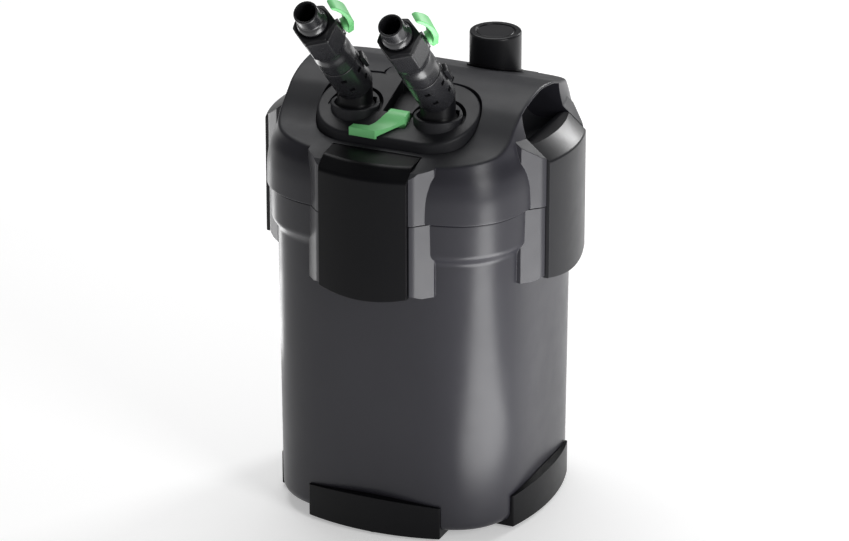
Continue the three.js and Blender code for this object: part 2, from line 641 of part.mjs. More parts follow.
for (const [side, { section, pivot, turn }] of Object.entries(CLAMPS)) {
  const spin = THREE.MathUtils.degToRad(turn);
  const reach = CLAMP_HALF + 2.2;
  const pin = bar(V3(pivot.out, -reach, pivot.z), V3(pivot.out, reach, pivot.z), PIN_R, 12);
  add('clamp_pin_' + side, pin, 'steel', head).rotation.z = spin;
  add('clamp_' + side, clampSolid(section, pivot), 'black', head).rotation.z = spin;
}

// ---------------------------------------------------------------- hose adapter
const adapter = new THREE.Group();
head.add(adapter);
add('adapter_plate', cut(adapterPlate(), pivotHole(1.8, -5.2, 16.2)), 'deck', adapter);
add('release_lever', releaseLever(), 'green', adapter);
add('release_pin', pivotHole(1.5, -4.9, 15.9), 'steel', adapter);

// ---------------------------------------------------------------- hose valves
// A valve is drawn along its own +Z from the bend, then leaned to the front.
const leanBack = new THREE.Quaternion().setFromAxisAngle(V3(1, 0, 0), -VALVE_TILT);
const spindleWay = SPINDLE.clone().applyQuaternion(leanBack);
spindleWay.z = 0;
spindleWay.normalize();
const acrossSpindle = V3(-spindleWay.y, spindleWay.x, 0);

function valveElbow() {
  const low = SOCKET.floor + 0.4;
  const disc = SOCKET.bore - 0.4;
  const stem = turned([
    [0, low], [disc, low], [disc, 321.6], [13.2, 324], [VALVE.stem, VALVE_BEND], [0, VALVE_BEND],
  ]);
  const ball = new THREE.SphereGeometry(VALVE.stem, 16, 8).translate(0, 0, VALVE_BEND);
  const way = V3(0, -Math.sin(VALVE_TILT), Math.cos(VALVE_TILT));
  const start = V3(0, 0, VALVE_BEND);
  const at = (s) => start.clone().addScaledVector(way, s);
  const outer = join(stem, solid(ball), bar(start, at(VALVE.sleeve[1] - 3), VALVE.neck));
  const corner = solid(new THREE.SphereGeometry(VALVE.bore, 8, 6).translate(0, 0, VALVE_BEND));
  return cut(outer, rod(0, 0, VALVE.bore, 300, VALVE_BEND), bar(start, at(50), VALVE.bore), corner);
}

// Quick-release sleeve over the bend and the neck, with two rows of windows, saddled on the upright stem.
function valveSleeve() {
  const [low, high] = VALVE.sleeve;
  const [r, bore, throat] = [VALVE.r + 0.2, VALVE.stem + 0.5, VALVE.neck + 0.4];
  const shell = turned([
    [bore, low], [r, low], [r, high], [throat, high], [throat, low + 8], [bore, low + 5], [bore, low],
  ]);
  const upright = bar(V3(0, 0, 0), V3(0, -40, -40), VALVE.stem + 0.8);
  const windows = [];
  for (const [height, first] of [[18.5, 2], [33, -6]]) {
    for (let k = 0; k < 6; k += 1) {
      const window = new THREE.BoxGeometry(8, 4.2, 4.2).translate(VALVE.r, 0, height);
      windows.push(solid(window.rotateZ(THREE.MathUtils.degToRad(60 * k + first))));
    }
  }
  return cut(shell, upright, ...windows);
}

function valveBody() {
  const [low, high] = VALVE.body;
  const centre = V3(0, 0, VALVE.ballAt);
  const along = (reach) => centre.clone().addScaledVector(spindleWay, reach);
  const barrel = turned([[0, low], [VALVE.r, low], [VALVE.r, 60], [13.4, 68], [13.4, 74], [0, 74]]);
  const flare = turned([[0, 66], [12.5, 66], [16.5, 75], [16.5, high + 1], [0, high + 1]]);
  const hex = about(rod(0, 0, 16.3, 66, high, 6), VALVE.hexTurn).intersect(flare);
  const made = join(barrel, hex, bar(centre, along(16.2), 6.6));
  const spindleHole = bar(centre, along(30), 3.4, 12);
  return cut(made, rod(0, 0, VALVE.bore, 40, 70), rod(0, 0, 10, 69, 100), spindleHole);
}

// Hose nozzle: a stem that fills the body's mouth in front of the ball, and a tapered tail.
const nozzleProfile = () => {
  const { tip } = VALVE;
  return [
    [VALVE.bore, 89.6], [9.7, 89.6], [9.7, 95.6], [11.4, 95.6], [11.4, 104], [10.4, 108], [8.75, 110],
    [8.75, tip - 0.8], [8.2, tip], [VALVE.bore, tip], [VALVE.bore, 89.6],
  ];
};

function hoseNut() {
  const [low, high] = VALVE.nut;
  const hex = about(rod(0, 0, 16.1, low, high, 6), VALVE.hexTurn);
  const dome = turned([[0, low - 1], [16.3, low - 1], [16.3, high - 3], [12.6, high], [0, high]]);
  return cut(hex.intersect(dome), rod(0, 0, 11.7, low - 1, high + 1));
}

// Green lever: a round hub on the spindle and an arched handle beside the barrel.
function valveLever() {
  const toLever = new THREE.Matrix4().makeBasis(acrossSpindle, V3(0, 0, 1), spindleWay);
  // The lever's own frame: x across, y along the barrel, z away from it.
  const hub = new THREE.CylinderGeometry(5.6, 5.6, 4.6, 16).rotateX(Math.PI / 2).translate(0, 0, 19);
  const stations = [ // along, away, width, thickness
    [-7, 19.6, 9, 5], [-2, 20.6, 11, 5], [3, 22, 13.5, 4.6], [9, 23.6, 14.5, 4.2],
    [15, 23.8, 13.5, 3.8], [22, 22.8, 11.5, 3.4], [29, 20.3, 9.8, 3.2], [34, 17.6, 9.2, 3.2],
  ];
  const under = stations.map(([y, z, , thick]) => V2(y, z - thick / 2));
  const over = stations.map(([y, z, , thick]) => V2(y, z + thick / 2));
  const left = stations.map(([y, , width]) => V2(-width / 2, y));
  const right = stations.map(([y, , width]) => V2(width / 2, y));
  const profile = alongX([...under, ...over.reverse()], -8, 8);
  const handle = profile.intersect(prism([...right, ...left.reverse()], 10, 30));
  const stem = new THREE.CylinderGeometry(3.1, 3.1, 8.6, 12).rotateX(Math.PI / 2).translate(0, 0, 14.2);
  const made = join(solid(hub), handle, solid(stem));
  return geometryOf(made).applyMatrix4(toLever).translate(0, 0, VALVE.ballAt);
}

function valveBall() {
  const ball = solid(new THREE.SphereGeometry(VALVE.ball, 12, 8));
  const bore = bar(V3(0, 0, -12), V3(0, 0, 12), VALVE.bore - 1, 12);
  return geometryOf(cut(ball, bore)).translate(0, 0, VALVE.ballAt);
}

function latchTab() {
  const tab = new THREE.BoxGeometry(3, 6.6, 15).translate(VALVE.r + 2, 0, 30);
  return solid(tab.rotateZ(THREE.MathUtils.degToRad(33)));
}

for (const [side, x] of [['left', -SOCKET.x], ['right', SOCKET.x]]) {
  const valve = new THREE.Group();
  valve.position.set(x, SOCKET.y, 0);
  adapter.add(valve);
  add('valve_elbow_' + side, valveElbow(), 'gloss', valve);
  const arm = new THREE.Group();
  arm.position.z = VALVE_BEND;
  arm.rotation.x = VALVE_TILT;
  valve.add(arm);
  add('valve_sleeve_' + side, valveSleeve(), 'gloss', arm);
  add('valve_latch_' + side, latchTab(), 'black', arm);
  add('valve_body_' + side, valveBody(), 'gloss', arm);
  add('valve_ball_' + side, valveBall(), 'inner', arm);
  add('valve_lever_' + side, valveLever(), 'green', arm);
  add('hose_nut_' + side, hoseNut(), 'gloss', arm);
  add('hose_nozzle_' + side, turned(nozzleProfile()), 'gloss', arm);
}

export default filter;
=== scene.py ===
import math
import random

import bmesh
import bpy
import numpy as np
from mathutils import Matrix, Vector


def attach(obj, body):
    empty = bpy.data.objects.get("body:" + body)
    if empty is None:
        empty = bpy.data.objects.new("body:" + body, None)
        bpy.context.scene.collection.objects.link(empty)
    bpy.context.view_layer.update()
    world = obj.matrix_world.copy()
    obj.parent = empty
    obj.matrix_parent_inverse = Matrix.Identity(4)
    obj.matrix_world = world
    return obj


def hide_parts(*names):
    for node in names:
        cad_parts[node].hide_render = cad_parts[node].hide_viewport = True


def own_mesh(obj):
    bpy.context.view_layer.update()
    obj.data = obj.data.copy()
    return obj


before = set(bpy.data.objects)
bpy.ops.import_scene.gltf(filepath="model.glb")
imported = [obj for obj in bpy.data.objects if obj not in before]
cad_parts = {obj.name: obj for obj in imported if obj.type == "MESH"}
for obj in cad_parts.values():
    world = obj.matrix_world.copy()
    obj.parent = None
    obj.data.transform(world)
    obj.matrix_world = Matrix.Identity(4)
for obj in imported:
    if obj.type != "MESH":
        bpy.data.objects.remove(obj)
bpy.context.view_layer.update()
scene = bpy.context.scene

# ---------------- sizes, in millimetres
MM = 0.001
SQUARENESS = 3.5
PLAN_POINTS = 240
BODY_BOTTOM = 7.0
RIM = 257.7
SEAM = 258.3
COLLAR_HALF = 102.5
HEAD_HALF = 105.0
WALL = 3.3
BOSS_HALF_WIDTH = 50.0
BOSS_BOTTOM = 200.0
CLAMP_HALF = 34.9
CLAMP_BULGE = 5.7
CLAMP_BOTTOM = 201.0
CLAMP_ROOM = 35.3
POCKET = {"out": 109.0, "low": 240.0, "top": 330.0, "far": 140.0}
POCKET_WALLS = {"front": 3.2, "side": 3.0, "grip": 2.6}
FRONT_PIVOT = {"out": 90.0, "z": 298.5, "r": 5.4}
SIDE_PIVOT = {"out": 98.0, "z": 296.5, "r": 8.7}
FOOT = {"half": 53.4, "end": 95.2, "bulge": 8.3, "inner": 75.0, "low": 2.5, "top": 28.0, "arch": 3.0,
        "wall": 4.0}
BUMPER_OUT = 95.0
DECK = [
    (-112, 298), (-101, 299.6), (-87, 303), (-70, 305.6), (-57, 312), (-45, 321.5), (-34.5, 328.5),
    (-15, 334), (0, 335.5), (20, 333), (34.5, 328.5), (60, 320), (80, 313), (98, 306.5), (112, 302),
]
ROOF = 3.4
GRIP_ROOF = 2.0
HEAD = [(SEAM, HEAD_HALF), (274, 104.6), (288, 102.6), (301, 98), (308, 96.6), (321, 93.6), (340, 92)]
ADAPTER = {"half": 62.5, "front": -81.5, "rear": -14.5, "thick": 14.0}
ADAPTER_SLOPE = 0.346
SOCKET = {"x": 33.0, "y": -52.0, "rim": 323.6, "outer": 18.0, "bore": 15.5, "floor": 315.0}
SPIGOT = {"outer": 10.4, "bore": 8.0, "bottom": 289.0}
BEND = 337.0
TILT = math.pi / 4
VALVE_BORE = 7.6
LEVER_PIVOT = (-59.6, 315.8)
BALL_AT = 79.0
BALL_R = 9.4
BARREL = 14.4
NECK = 10.6
STEM = 12.7
HEX_FLAT = 14.2
HEX_CORNER = 16.1
HEX_TURN = math.radians(20.5)
LEVER_BORE = 1.8
PIN_HOLE = 2.3
PRIME = {"x": 31.0, "y": 60.0, "r": 19.5, "top": 350.5, "bore": 20.0, "well": 21.3, "floor": 268.0}
MOTOR = {"x": 0.0, "y": 20.0, "bore": 15.2, "r": 18.8, "top": 288.0}
BASKET = {"half": 91.5, "height": 69.0, "wall": 2.0, "pitch": 70.6, "bottom": 15.5}
MEDIA_FLOOR = 6.6
MEDIA_TOP = 60.0
FINE_TOP = 44.0
INTAKE = {"x": 33.0, "y": -52.0, "r": 16.5, "bore": 14.4}
GLAND = {"x": -64.0, "z": 276.0, "r": 7.0}
SIDES = ("front", "right", "back", "left")
CLAMP_TURNS = {
    "front": (FRONT_PIVOT, -90),
    "right": (SIDE_PIVOT, 0),
    "back": (FRONT_PIVOT, 90),
    "left": (SIDE_PIVOT, 180),
}


# ---------------- camera
def make_camera():
    azimuth, elevation, distance = math.radians(23.66), math.radians(23.32), 3.75028
    target = Vector((-0.0004, -0.0002, 0.1739))
    flat = math.cos(elevation)
    away = Vector((math.sin(azimuth) * flat, -math.cos(azimuth) * flat, math.sin(elevation)))
    data = bpy.data.cameras.new("camera")
    data.sensor_width = 36.0
    data.lens = 212.01
    data.clip_end = 50.0
    camera = bpy.data.objects.new("camera", data)
    scene.collection.objects.link(camera)
    camera.location = target + away * distance
    camera.rotation_euler = (-away).to_track_quat("-Z", "Y").to_euler()
    scene.camera = camera


make_camera()


# ---------------- mesh kit
def link(mesh, name="solid"):
    made = bpy.data.objects.new(name, mesh)
    scene.collection.objects.link(made)
    return made


def mesh_of(verts, faces):
    """A closed mesh with its faces turned outward."""
    mesh = bpy.data.meshes.new("solid")
    mesh.from_pydata([tuple(v) for v in verts], [], [tuple(f) for f in faces])
    work = bmesh.new()
    work.from_mesh(mesh)
    bmesh.ops.recalc_face_normals(work, faces=work.faces)
    work.to_mesh(mesh)
    work.free()
    return link(mesh)


def loft(rings, around=False):
    """A skin through rings of equal point count, capped at both ends, or joined end to start."""
    count = len(rings[0])
    verts = np.concatenate([np.asarray(ring, float) for ring in rings])
    faces = []
    for k in range(len(rings) if around else len(rings) - 1):
        a, b = k * count, ((k + 1) % len(rings)) * count
        for i in range(count):
            j = (i + 1) % count
            faces.append((a + i, a + j, b + j, b + i))
    if not around:
        faces.append(range(count - 1, -1, -1))
        faces.append(range(len(verts) - count, len(verts)))
    return mesh_of(verts, faces)


def carried(outline, low, high, axis="z"):
    """An outline of (u, v) points carried along an axis: (x, y) along z, (y, z) along x, (x, z) along y."""
    place = {"z": lambda u, v, w: (u, v, w), "x": lambda u, v, w: (w, u, v), "y": lambda u, v, w: (u, w, v)}
    return loft([[place[axis](u, v, w) for u, v in outline] for w in (low, high)])


def turned(profile, x=0.0, y=0.0, sides=96):
    """A turned piece about the vertical line through (x, y), from (radius, height) points."""
    verts, rings, faces = [], [], []
    for r, z in profile:
        if r < 1e-6:
            rings.append([len(verts)])
            verts.append((x, y, z))
        else:
            rings.append([len(verts) + i for i in range(sides)])
            angles = [2 * math.pi * i / sides for i in range(sides)]
            verts += [(x + r * math.cos(a), y + r * math.sin(a), z) for a in angles]
    closed = len(rings[0]) > 1
    pairs = list(zip(rings, rings[1:])) + ([(rings[-1], rings[0])] if closed else [])
    for a, b in pairs:
        for i in range(sides):
            j = (i + 1) % sides
            if len(a) == 1:
                faces.append((a[0], b[j], b[i]))
            elif len(b) == 1:
                faces.append((a[i], a[j], b[0]))
            else:
                faces.append((a[i], a[j], b[j], b[i]))
    return mesh_of(verts, faces)


def rod(x, y, r, low, high, sides=96):
    return turned([(0, low), (r, low), (r, high), (0, high)], x, y, sides)


def rod_at(place, r, low, high):
    return rod(place["x"], place["y"], r, low, high)


def tube(x, y, outer, inner, low, high, sides=96):
    return turned([(inner, low), (outer, low), (outer, high), (inner, high)], x, y, sides)


def bar(start, end, r, sides=48):
    """A straight round bar between two points."""
    way = Vector(end) - Vector(start)
    made = rod(0, 0, r, 0, way.length, sides)
    return moved(made, Matrix.Translation(start) @ way.to_track_quat("Z", "Y").to_matrix().to_4x4())


def box(x0, x1, y0, y1, z0, z1):
    return carried([(x0, y0), (x1, y0), (x1, y1), (x0, y1)], z0, z1)


def moved(made, matrix):
    made.data.transform(matrix)
    return made


def shifted(made, x, y, z=0.0):
    return moved(made, Matrix.Translation((x, y, z)))


def spun(made, degrees):
    return moved(made, Matrix.Rotation(math.radians(degrees), 4, "Z"))


def copied(made):
    return link(made.data.copy())


def settle(made):
    """Applies the modifiers of an object to its mesh."""
    graph = bpy.context.evaluated_depsgraph_get()
    mesh = bpy.data.meshes.new_from_object(made.evaluated_get(graph))
    made.modifiers.clear()
    made.data = mesh
    return made


def combine(first, others, operation):
    for other in others:
        modifier = first.modifiers.new("boolean", "BOOLEAN")
        modifier.operation = operation
        modifier.solver = "MANIFOLD"
        modifier.object = other
    settle(first)
    for other in others:
        bpy.data.objects.remove(other)
    return first


def join(first, *others):
    return combine(first, others, "UNION")


def cut(first, *others):
    return combine(first, others, "DIFFERENCE")


def common(first, *others):
    return combine(first, others, "INTERSECT")


def softened(made, width, segments=3, angle=30.0):
    """Rounds the edges sharper than an angle, for a solid of clean faces."""
    modifier = made.modifiers.new("soft", "BEVEL")
    modifier.width = width
    modifier.segments = segments
    modifier.limit_method = "ANGLE"
    modifier.angle_limit = math.radians(angle)
    return settle(made)


def arc(cx, cy, r, start, end, steps):
    angles = [math.radians(start + (end - start) * i / steps) for i in range(steps + 1)]
    return [(cx + r * math.cos(a), cy + r * math.sin(a)) for a in angles]


def rounded(points, radius, steps=4, closed=True):
    """A polyline with its corners cut back and bent round; radius is one number, or one for each point."""
    count = len(points)
    radii = radius if hasattr(radius, "__len__") else [radius] * count
    made = []
    for i, (here, r) in enumerate(zip(points, radii)):
        here = Vector(here)
        if r <= 0 or (not closed and i in (0, count - 1)):
            made.append(tuple(here))
            continue
        before, after = Vector(points[i - 1]) - here, Vector(points[(i + 1) % count]) - here
        reach = min(r, before.length * 0.49, after.length * 0.49)
        start, end = here + before.normalized() * reach, here + after.normalized() * reach
        for k in range(steps + 1):
            t = k / steps
            made.append(tuple(start * (1 - t) ** 2 + here * 2 * t * (1 - t) + end * t * t))
    return made


def smooth_curve(stations):
    """A smooth function through (x, y) stations, by cubic pieces that never overshoot."""
    xs, ys = (np.array(column, float) for column in zip(*stations))
    rise = np.diff(ys) / np.diff(xs)
    slope = np.zeros(len(xs))
    slope[0], slope[-1] = rise[0], rise[-1]
    for i in range(1, len(xs) - 1):
        if rise[i - 1] * rise[i] > 0:
            slope[i] = 2 * rise[i - 1] * rise[i] / (rise[i - 1] + rise[i])

    def value(x):
        x = np.clip(x, xs[0], xs[-1])
        i = np.clip(np.searchsorted(xs, x) - 1, 0, len(xs) - 2)
        width = xs[i + 1] - xs[i]
        t = (x - xs[i]) / width
        return (
            ys[i] * (1 + 2 * t) * (1 - t) ** 2 + slope[i] * width * t * (1 - t) ** 2
            + ys[i + 1] * t * t * (3 - 2 * t) + slope[i + 1] * width * t * t * (t - 1)
        )
    return value


def unit_plan(count):
    """Evenly spaced points on the square-round plan of half width 1."""
    fine = np.linspace(0, 2 * math.pi, 20001)
    bend = 2 / SQUARENESS
    x = np.sign(np.cos(fine)) * np.abs(np.cos(fine)) ** bend
    y = np.sign(np.sin(fine)) * np.abs(np.sin(fine)) ** bend
    length = np.concatenate([[0], np.cumsum(np.hypot(np.diff(x), np.diff(y)))])
    at = np.arange(count) * length[-1] / count
    return np.stack([np.interp(at, length, x), np.interp(at, length, y)], 1)


PLAN = unit_plan(PLAN_POINTS)
deck_height = smooth_curve(DECK)
head_half = smooth_curve(HEAD)


def level(half, z):
    return np.column_stack([PLAN * half, np.full(len(PLAN), float(z))])


def column(stations):
    """A square-round column from (half width, height) stations."""
    return loft([level(half, z) for half, z in stations])


def under_deck(drop, half=130.0, reach=112.0):
    ys = np.linspace(-reach, reach, 121)
    top = [(y, float(deck_height(y)) - drop) for y in ys]
    return carried([(reach, 150.0), (-reach, 150.0)] + top, -half, half, "x")


def mirrored(outline):
    return [(-x, y) for x, y in reversed(outline)] + list(outline)


# ---------------- materials
class Nodes:
    """Short calls for building one node material."""

    def __init__(self, name):
        self.material = bpy.data.materials.new(name)
        self.material.use_nodes = True
        self.tree = self.material.node_tree
        self.shader = self.tree.nodes["Principled BSDF"]
        self.place = self.new("ShaderNodeTexCoord").outputs["Object"]

    def new(self, kind, **settings):
        node = self.tree.nodes.new(kind)
        for key, value in settings.items():
            setattr(node, key, value)
        return node

    def feed(self, node, **inputs):
        for key, value in inputs.items():
            socket = node.inputs[key.replace("_", " ")]
            if isinstance(value, bpy.types.NodeSocket):
                self.tree.links.new(value, socket)
            else:
                socket.default_value = value
        return node

    def noise(self, scale, detail=3.0, rough=0.5, stretch=None):
        place = self.place
        if stretch:
            mapping = self.feed(self.new("ShaderNodeMapping"), Vector=place, Scale=stretch)
            place = mapping.outputs["Vector"]
        node = self.new("ShaderNodeTexNoise")
        return self.feed(node, Vector=place, Scale=scale, Detail=detail, Roughness=rough).outputs["Fac"]

    def ramp(self, value, low, high, start=0.3, end=0.7):
        """value remapped smoothly to low..high."""
        node = self.new("ShaderNodeMapRange", interpolation_type="SMOOTHSTEP")
        self.feed(node, Value=value)
        for key, number in (("From Min", start), ("From Max", end), ("To Min", low), ("To Max", high)):
            node.inputs[key].default_value = number
        return node.outputs["Result"]

    def mix(self, factor, first, second):
        node = self.new("ShaderNodeMix", data_type="RGBA")
        self.tree.links.new(factor, node.inputs["Factor"])
        for slot, colour in ((6, first), (7, second)):
            if isinstance(colour, bpy.types.NodeSocket):
                self.tree.links.new(colour, node.inputs[slot])
            else:
                node.inputs[slot].default_value = (*colour, 1)
        return node.outputs[2]

    def bump(self, height, distance, strength=1.0, normal=None):
        node = self.feed(self.new("ShaderNodeBump"), Height=height, Distance=distance, Strength=strength)
        if normal is not None:
            self.feed(node, Normal=normal)
        return node.outputs["Normal"]

    def edge(self, radius):
        node = self.new("ShaderNodeBevel", samples=8)
        node.inputs["Radius"].default_value = radius
        return node.outputs["Normal"]


def plastic(name, colour, rough, grain, grain_depth, edge=0.0006, wander=0.06, spec=0.5, coat=0.0):
    """Moulded plastic: a fine grain, slow changes of gloss, faint flow clouding and a broken edge."""
    n = Nodes(name)
    cloud = n.noise(16.0, 4.0, 0.55)
    darker = tuple(c * 0.95 for c in colour)
    lighter = tuple(min(1.0, c * 1.05) for c in colour)
    n.feed(n.shader, Base_Color=n.mix(n.ramp(cloud, 0.0, 1.0), darker, lighter))
    smear = n.noise(55.0, 5.0, 0.6)
    n.feed(n.shader, Roughness=n.ramp(smear, rough - wander, rough + wander, 0.25, 0.75))
    fine = n.noise(grain, 2.0, 0.6)
    n.feed(n.shader, Normal=n.bump(fine, grain_depth, 1.0, n.edge(edge)))
    n.feed(n.shader, Specular_IOR_Level=spec, Coat_Weight=coat, Coat_Roughness=0.12)
    return n.material


def metal(name, colour, rough, stretch=(1, 1, 14)):
    n = Nodes(name)
    brushed = n.noise(900.0, 3.0, 0.6, stretch)
    n.feed(n.shader, Base_Color=n.mix(n.noise(60.0), tuple(c * 0.85 for c in colour), colour))
    n.feed(n.shader, Roughness=n.ramp(brushed, rough - 0.08, rough + 0.12))
    n.feed(n.shader, Normal=n.bump(brushed, 0.00002))
    n.feed(n.shader, Metallic=1.0)
    return n.material


def foam(name, colour, cell):
    """Open-cell foam: cell mouths darkened with painted shade in a lighter skeleton."""
    n = Nodes(name)
    cells = n.feed(n.new("ShaderNodeTexVoronoi", feature="F1"), Vector=n.place, Scale=cell)
    mouth = n.ramp(cells.outputs["Distance"], 0.0, 1.0, 0.15, 0.6)
    tint = n.mix(n.noise(25.0), tuple(c * 0.75 for c in colour), colour)
    # Painted shade: the cell mouths take 18% of the foam colour, standing in for the shade inside the pores.
    n.feed(n.shader, Base_Color=n.mix(mouth, tuple(c * 0.18 for c in colour), tint))
    n.feed(n.shader, Roughness=n.ramp(mouth, 0.85, 0.98, 0.0, 1.0))
    n.feed(n.shader, Normal=n.bump(mouth, 0.0012))
    n.feed(n.shader, Sheen_Weight=0.25)
    return n.material


def floss(name):
    n = Nodes(name)
    fibre = n.noise(420.0, 6.0, 0.75, (1, 1, 3))
    tuft = n.noise(60.0, 4.0, 0.6)
    n.feed(n.shader, Base_Color=n.mix(n.ramp(fibre, 0.0, 1.0), (0.58, 0.6, 0.58), (0.86, 0.87, 0.84)))
    n.feed(n.shader, Roughness=n.ramp(tuft, 0.85, 1.0))
    n.feed(n.shader, Normal=n.bump(fibre, 0.0008, 0.9, n.bump(tuft, 0.003)))
    n.feed(n.shader, Sheen_Weight=0.5)
    return n.material


def ceramic(name):
    n = Nodes(name)
    pores = n.noise(1400.0, 5.0, 0.7)
    kiln = n.noise(35.0, 3.0, 0.5)
    n.feed(n.shader, Base_Color=n.mix(n.ramp(kiln, 0.0, 1.0), (0.48, 0.41, 0.32), (0.72, 0.66, 0.56)))
    n.feed(n.shader, Roughness=n.ramp(pores, 0.75, 0.95))
    n.feed(n.shader, Normal=n.bump(pores, 0.0003))
    return n.material


BODY = plastic("body_plastic", (0.0225, 0.022, 0.028), 0.32, 1500.0, 0.000004, 0.0007, 0.03, 0.36)
TEXTURED = plastic("deck_plastic", (0.03, 0.0305, 0.0345), 0.5, 2600.0, 0.00004, 0.0007, 0.04, 0.3)
PLATE = plastic("adapter_plastic", (0.016, 0.0162, 0.019), 0.46, 2600.0, 0.00003, 0.0006, 0.04, 0.24)
BLACK = plastic("black_plastic", (0.004, 0.004, 0.005), 0.36, 1800.0, 0.000003, 0.0006, 0.03, 0.14)
SATIN = plastic("satin_black", (0.011, 0.011, 0.013), 0.34, 2200.0, 0.000004, 0.0006, 0.03, 0.3)
GLOSS = plastic("gloss_black", (0.014, 0.014, 0.016), 0.26, 700.0, 0.000002, 0.0003, 0.02, 0.6)
GREEN = plastic("green_plastic", (0.2, 0.66, 0.24), 0.42, 1600.0, 0.00001, 0.0006, 0.06)
INNER = plastic("inner_plastic", (0.03, 0.03, 0.034), 0.45, 2200.0, 0.00003, 0.0004)
RUBBER = plastic("rubber", (0.014, 0.014, 0.015), 0.68, 2600.0, 0.00005, 0.0004, 0.08, 0.3)
STEEL = metal("steel", (0.62, 0.63, 0.64), 0.3)
IRON = metal("laminations", (0.34, 0.35, 0.37), 0.45, (1, 1, 60))
FERRITE = plastic("ferrite", (0.03, 0.03, 0.034), 0.5, 1200.0, 0.00006, 0.0004)
CERAMIC = ceramic("ceramic")
BLUE_FOAM = foam("blue_foam", (0.05, 0.13, 0.27), 420.0)
FINE_FOAM = foam("fine_foam", (0.1, 0.2, 0.34), 900.0)
FLOSS = floss("white_floss")


def piece(name, made, material, body, nodes, sharp=33.0, flat_deck=None):
    """Scales a solid to metres, gives it its look and name, and hangs it on its CAD body."""
    made.data.transform(Matrix.Scale(MM, 4))
    made.name = name
    made.data.name = name
    made.data.materials.clear()
    made.data.materials.append(material)
    for face in made.data.polygons:
        face.use_smooth = True
        face.material_index = 0
    made.data.set_sharp_from_angle(angle=math.radians(sharp))
    weighted = made.modifiers.new("normals", "WEIGHTED_NORMAL")
    weighted.keep_sharp = True
    if flat_deck:
        made.data.materials.append(flat_deck)
        for face in made.data.polygons:
            if face.normal.z > 0.7:
                face.material_index = 1
    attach(made, body)
    if nodes:
        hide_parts(*nodes)
    return made


# ---------------- canister
def canister_bosses():
    outline = rounded(mirrored([
        (35.4, -103.0), (35.4, -111.6), (38.6, -109.8), (BOSS_HALF_WIDTH, -98.0), (BOSS_HALF_WIDTH, -88.0),
    ]), [0, 0, 3, 0.8, 0, 0, 0.8, 3, 0, 0], 5)
    block = carried(outline, BOSS_BOTTOM, RIM)
    foot = rounded([(-120, 190), (-120, 207), (-104, 199.6), (-90, 190)], [0, 0, 4, 0], 5)
    return cut(block, carried(foot, -60, 60, "x"))


def canister_shell():
    outer = [(80, BODY_BOTTOM), (96.2, BODY_BOTTOM), (97.9, 225), (102.2, 231.5), (COLLAR_HALF, RIM)]
    outer = rounded(outer + [(COLLAR_HALF - 3, RIM)], [0, 11, 2.6, 2.6, 2.2, 0], 8, closed=False)
    inner = [(60, 11.5), (92.6, 11.5), (94.8, 230), (98.6, 233.5), (98.6, RIM + 5)]
    inner = rounded(inner, [0, 8, 2, 2, 0], 6, closed=False)
    boss = canister_bosses()
    turns = [spun(copied(boss), 90 * k) for k in range(4)]
    bpy.data.objects.remove(boss)
    shell = join(column(outer), *turns, rod(0, 0, 15, FOOT["low"], 12))
    return cut(shell, column(inner), rod(0, 0, 3.1, 0, 6.5))


piece("canister_body", canister_shell(), BODY, "canister", ["canister_shell"], 28)


# ---------------- feet and bumpers
def arc_through(half, bulge):
    """Radius and half sweep in degrees of an arc of half chord and bulge."""
    r = (half * half + bulge * bulge) / (2 * bulge)
    return r, math.degrees(math.asin(half / r))


def foot():
    half, end, bulge, low = FOOT["half"], FOOT["end"], FOOT["bulge"], FOOT["low"]
    r, sweep = arc_through(half, bulge)
    plan = [(half, -FOOT["inner"]), (-half, -FOOT["inner"])]
    plan += arc(0, -(end + bulge - r), r, 270 - sweep, 270 + sweep, 40)
    top = FOOT["top"] + FOOT["arch"]
    lid_r, lid_sweep = arc_through(half, FOOT["arch"])
    front = [(-half - 1, 0), (half + 1, 0)] + arc(0, top - lid_r, lid_r, 90 - lid_sweep, 90 + lid_sweep, 24)
    block = common(softened(carried(plan, low, top + 4), 0.8), carried(front, -130, -60, "y"))
    inside = [(half + 2, -60), (-half - 2, -60)]
    wall = FOOT["wall"]
    inside += arc(0, -(end + bulge - r), r - wall, 270 - sweep, 270 + sweep, 40)
    left_end, right_end = box(-60, -half + 9, -120, -60, 0, 60), box(half - 9, 60, -120, -60, 0, 60)
    ends = common(carried(inside, low + wall, 60), join(left_end, right_end))
    clear = column([(89.8, 6.7), (94.6, 9.3), (96.2, 13), (97.05, 40), (98.4, 225)])
    return cut(block, ends, clear, rod(0, -BUMPER_OUT, 2.8, 0, 5.5, 32))


def bumper(x, y, r, stem):
    shoulder = FOOT["low"] - 0.3
    profile = [(0, 0), (r, 0), (r, shoulder), (stem, shoulder), (stem, 5.1), (0, 5.1)]
    return turned(rounded(profile, [0, 0.8, 0.4, 0, 0.3, 0], 4), x, y, 64)


for turn, side in enumerate(SIDES):
    piece(f"foot_pad_{side}", spun(foot(), 90 * turn), BLACK, "canister", [f"foot_{side}"])
    made = spun(bumper(0, -BUMPER_OUT, 4.3, 2.5), 90 * turn)
    piece(f"rubber_{side}", made, RUBBER, "canister", [f"bumper_{side}"])
piece("rubber_centre", bumper(0, 0, 11.0, 2.7), RUBBER, "canister", ["bumper_centre"])


# ---------------- head cover
def pivot_bar(pivot, half, r, sides=48):
    """A bar of a half length on a clamp's pivot line."""
    return bar((pivot["out"], -half, pivot["z"]), (pivot["out"], half, pivot["z"]), r, sides)


def clamp_pocket(pivot, grow, outline):
    half = CLAMP_ROOM + grow
    return join(carried(outline, -half, half, "y"), pivot_bar(pivot, half, pivot["r"] + 0.5 + grow))


def pocket_mouth(grow):
    """The open outer side of a clamp pocket's section."""
    far = POCKET["far"]
    return [(POCKET["out"] - grow, POCKET["low"]), (far, POCKET["low"]), (far, POCKET["top"])]


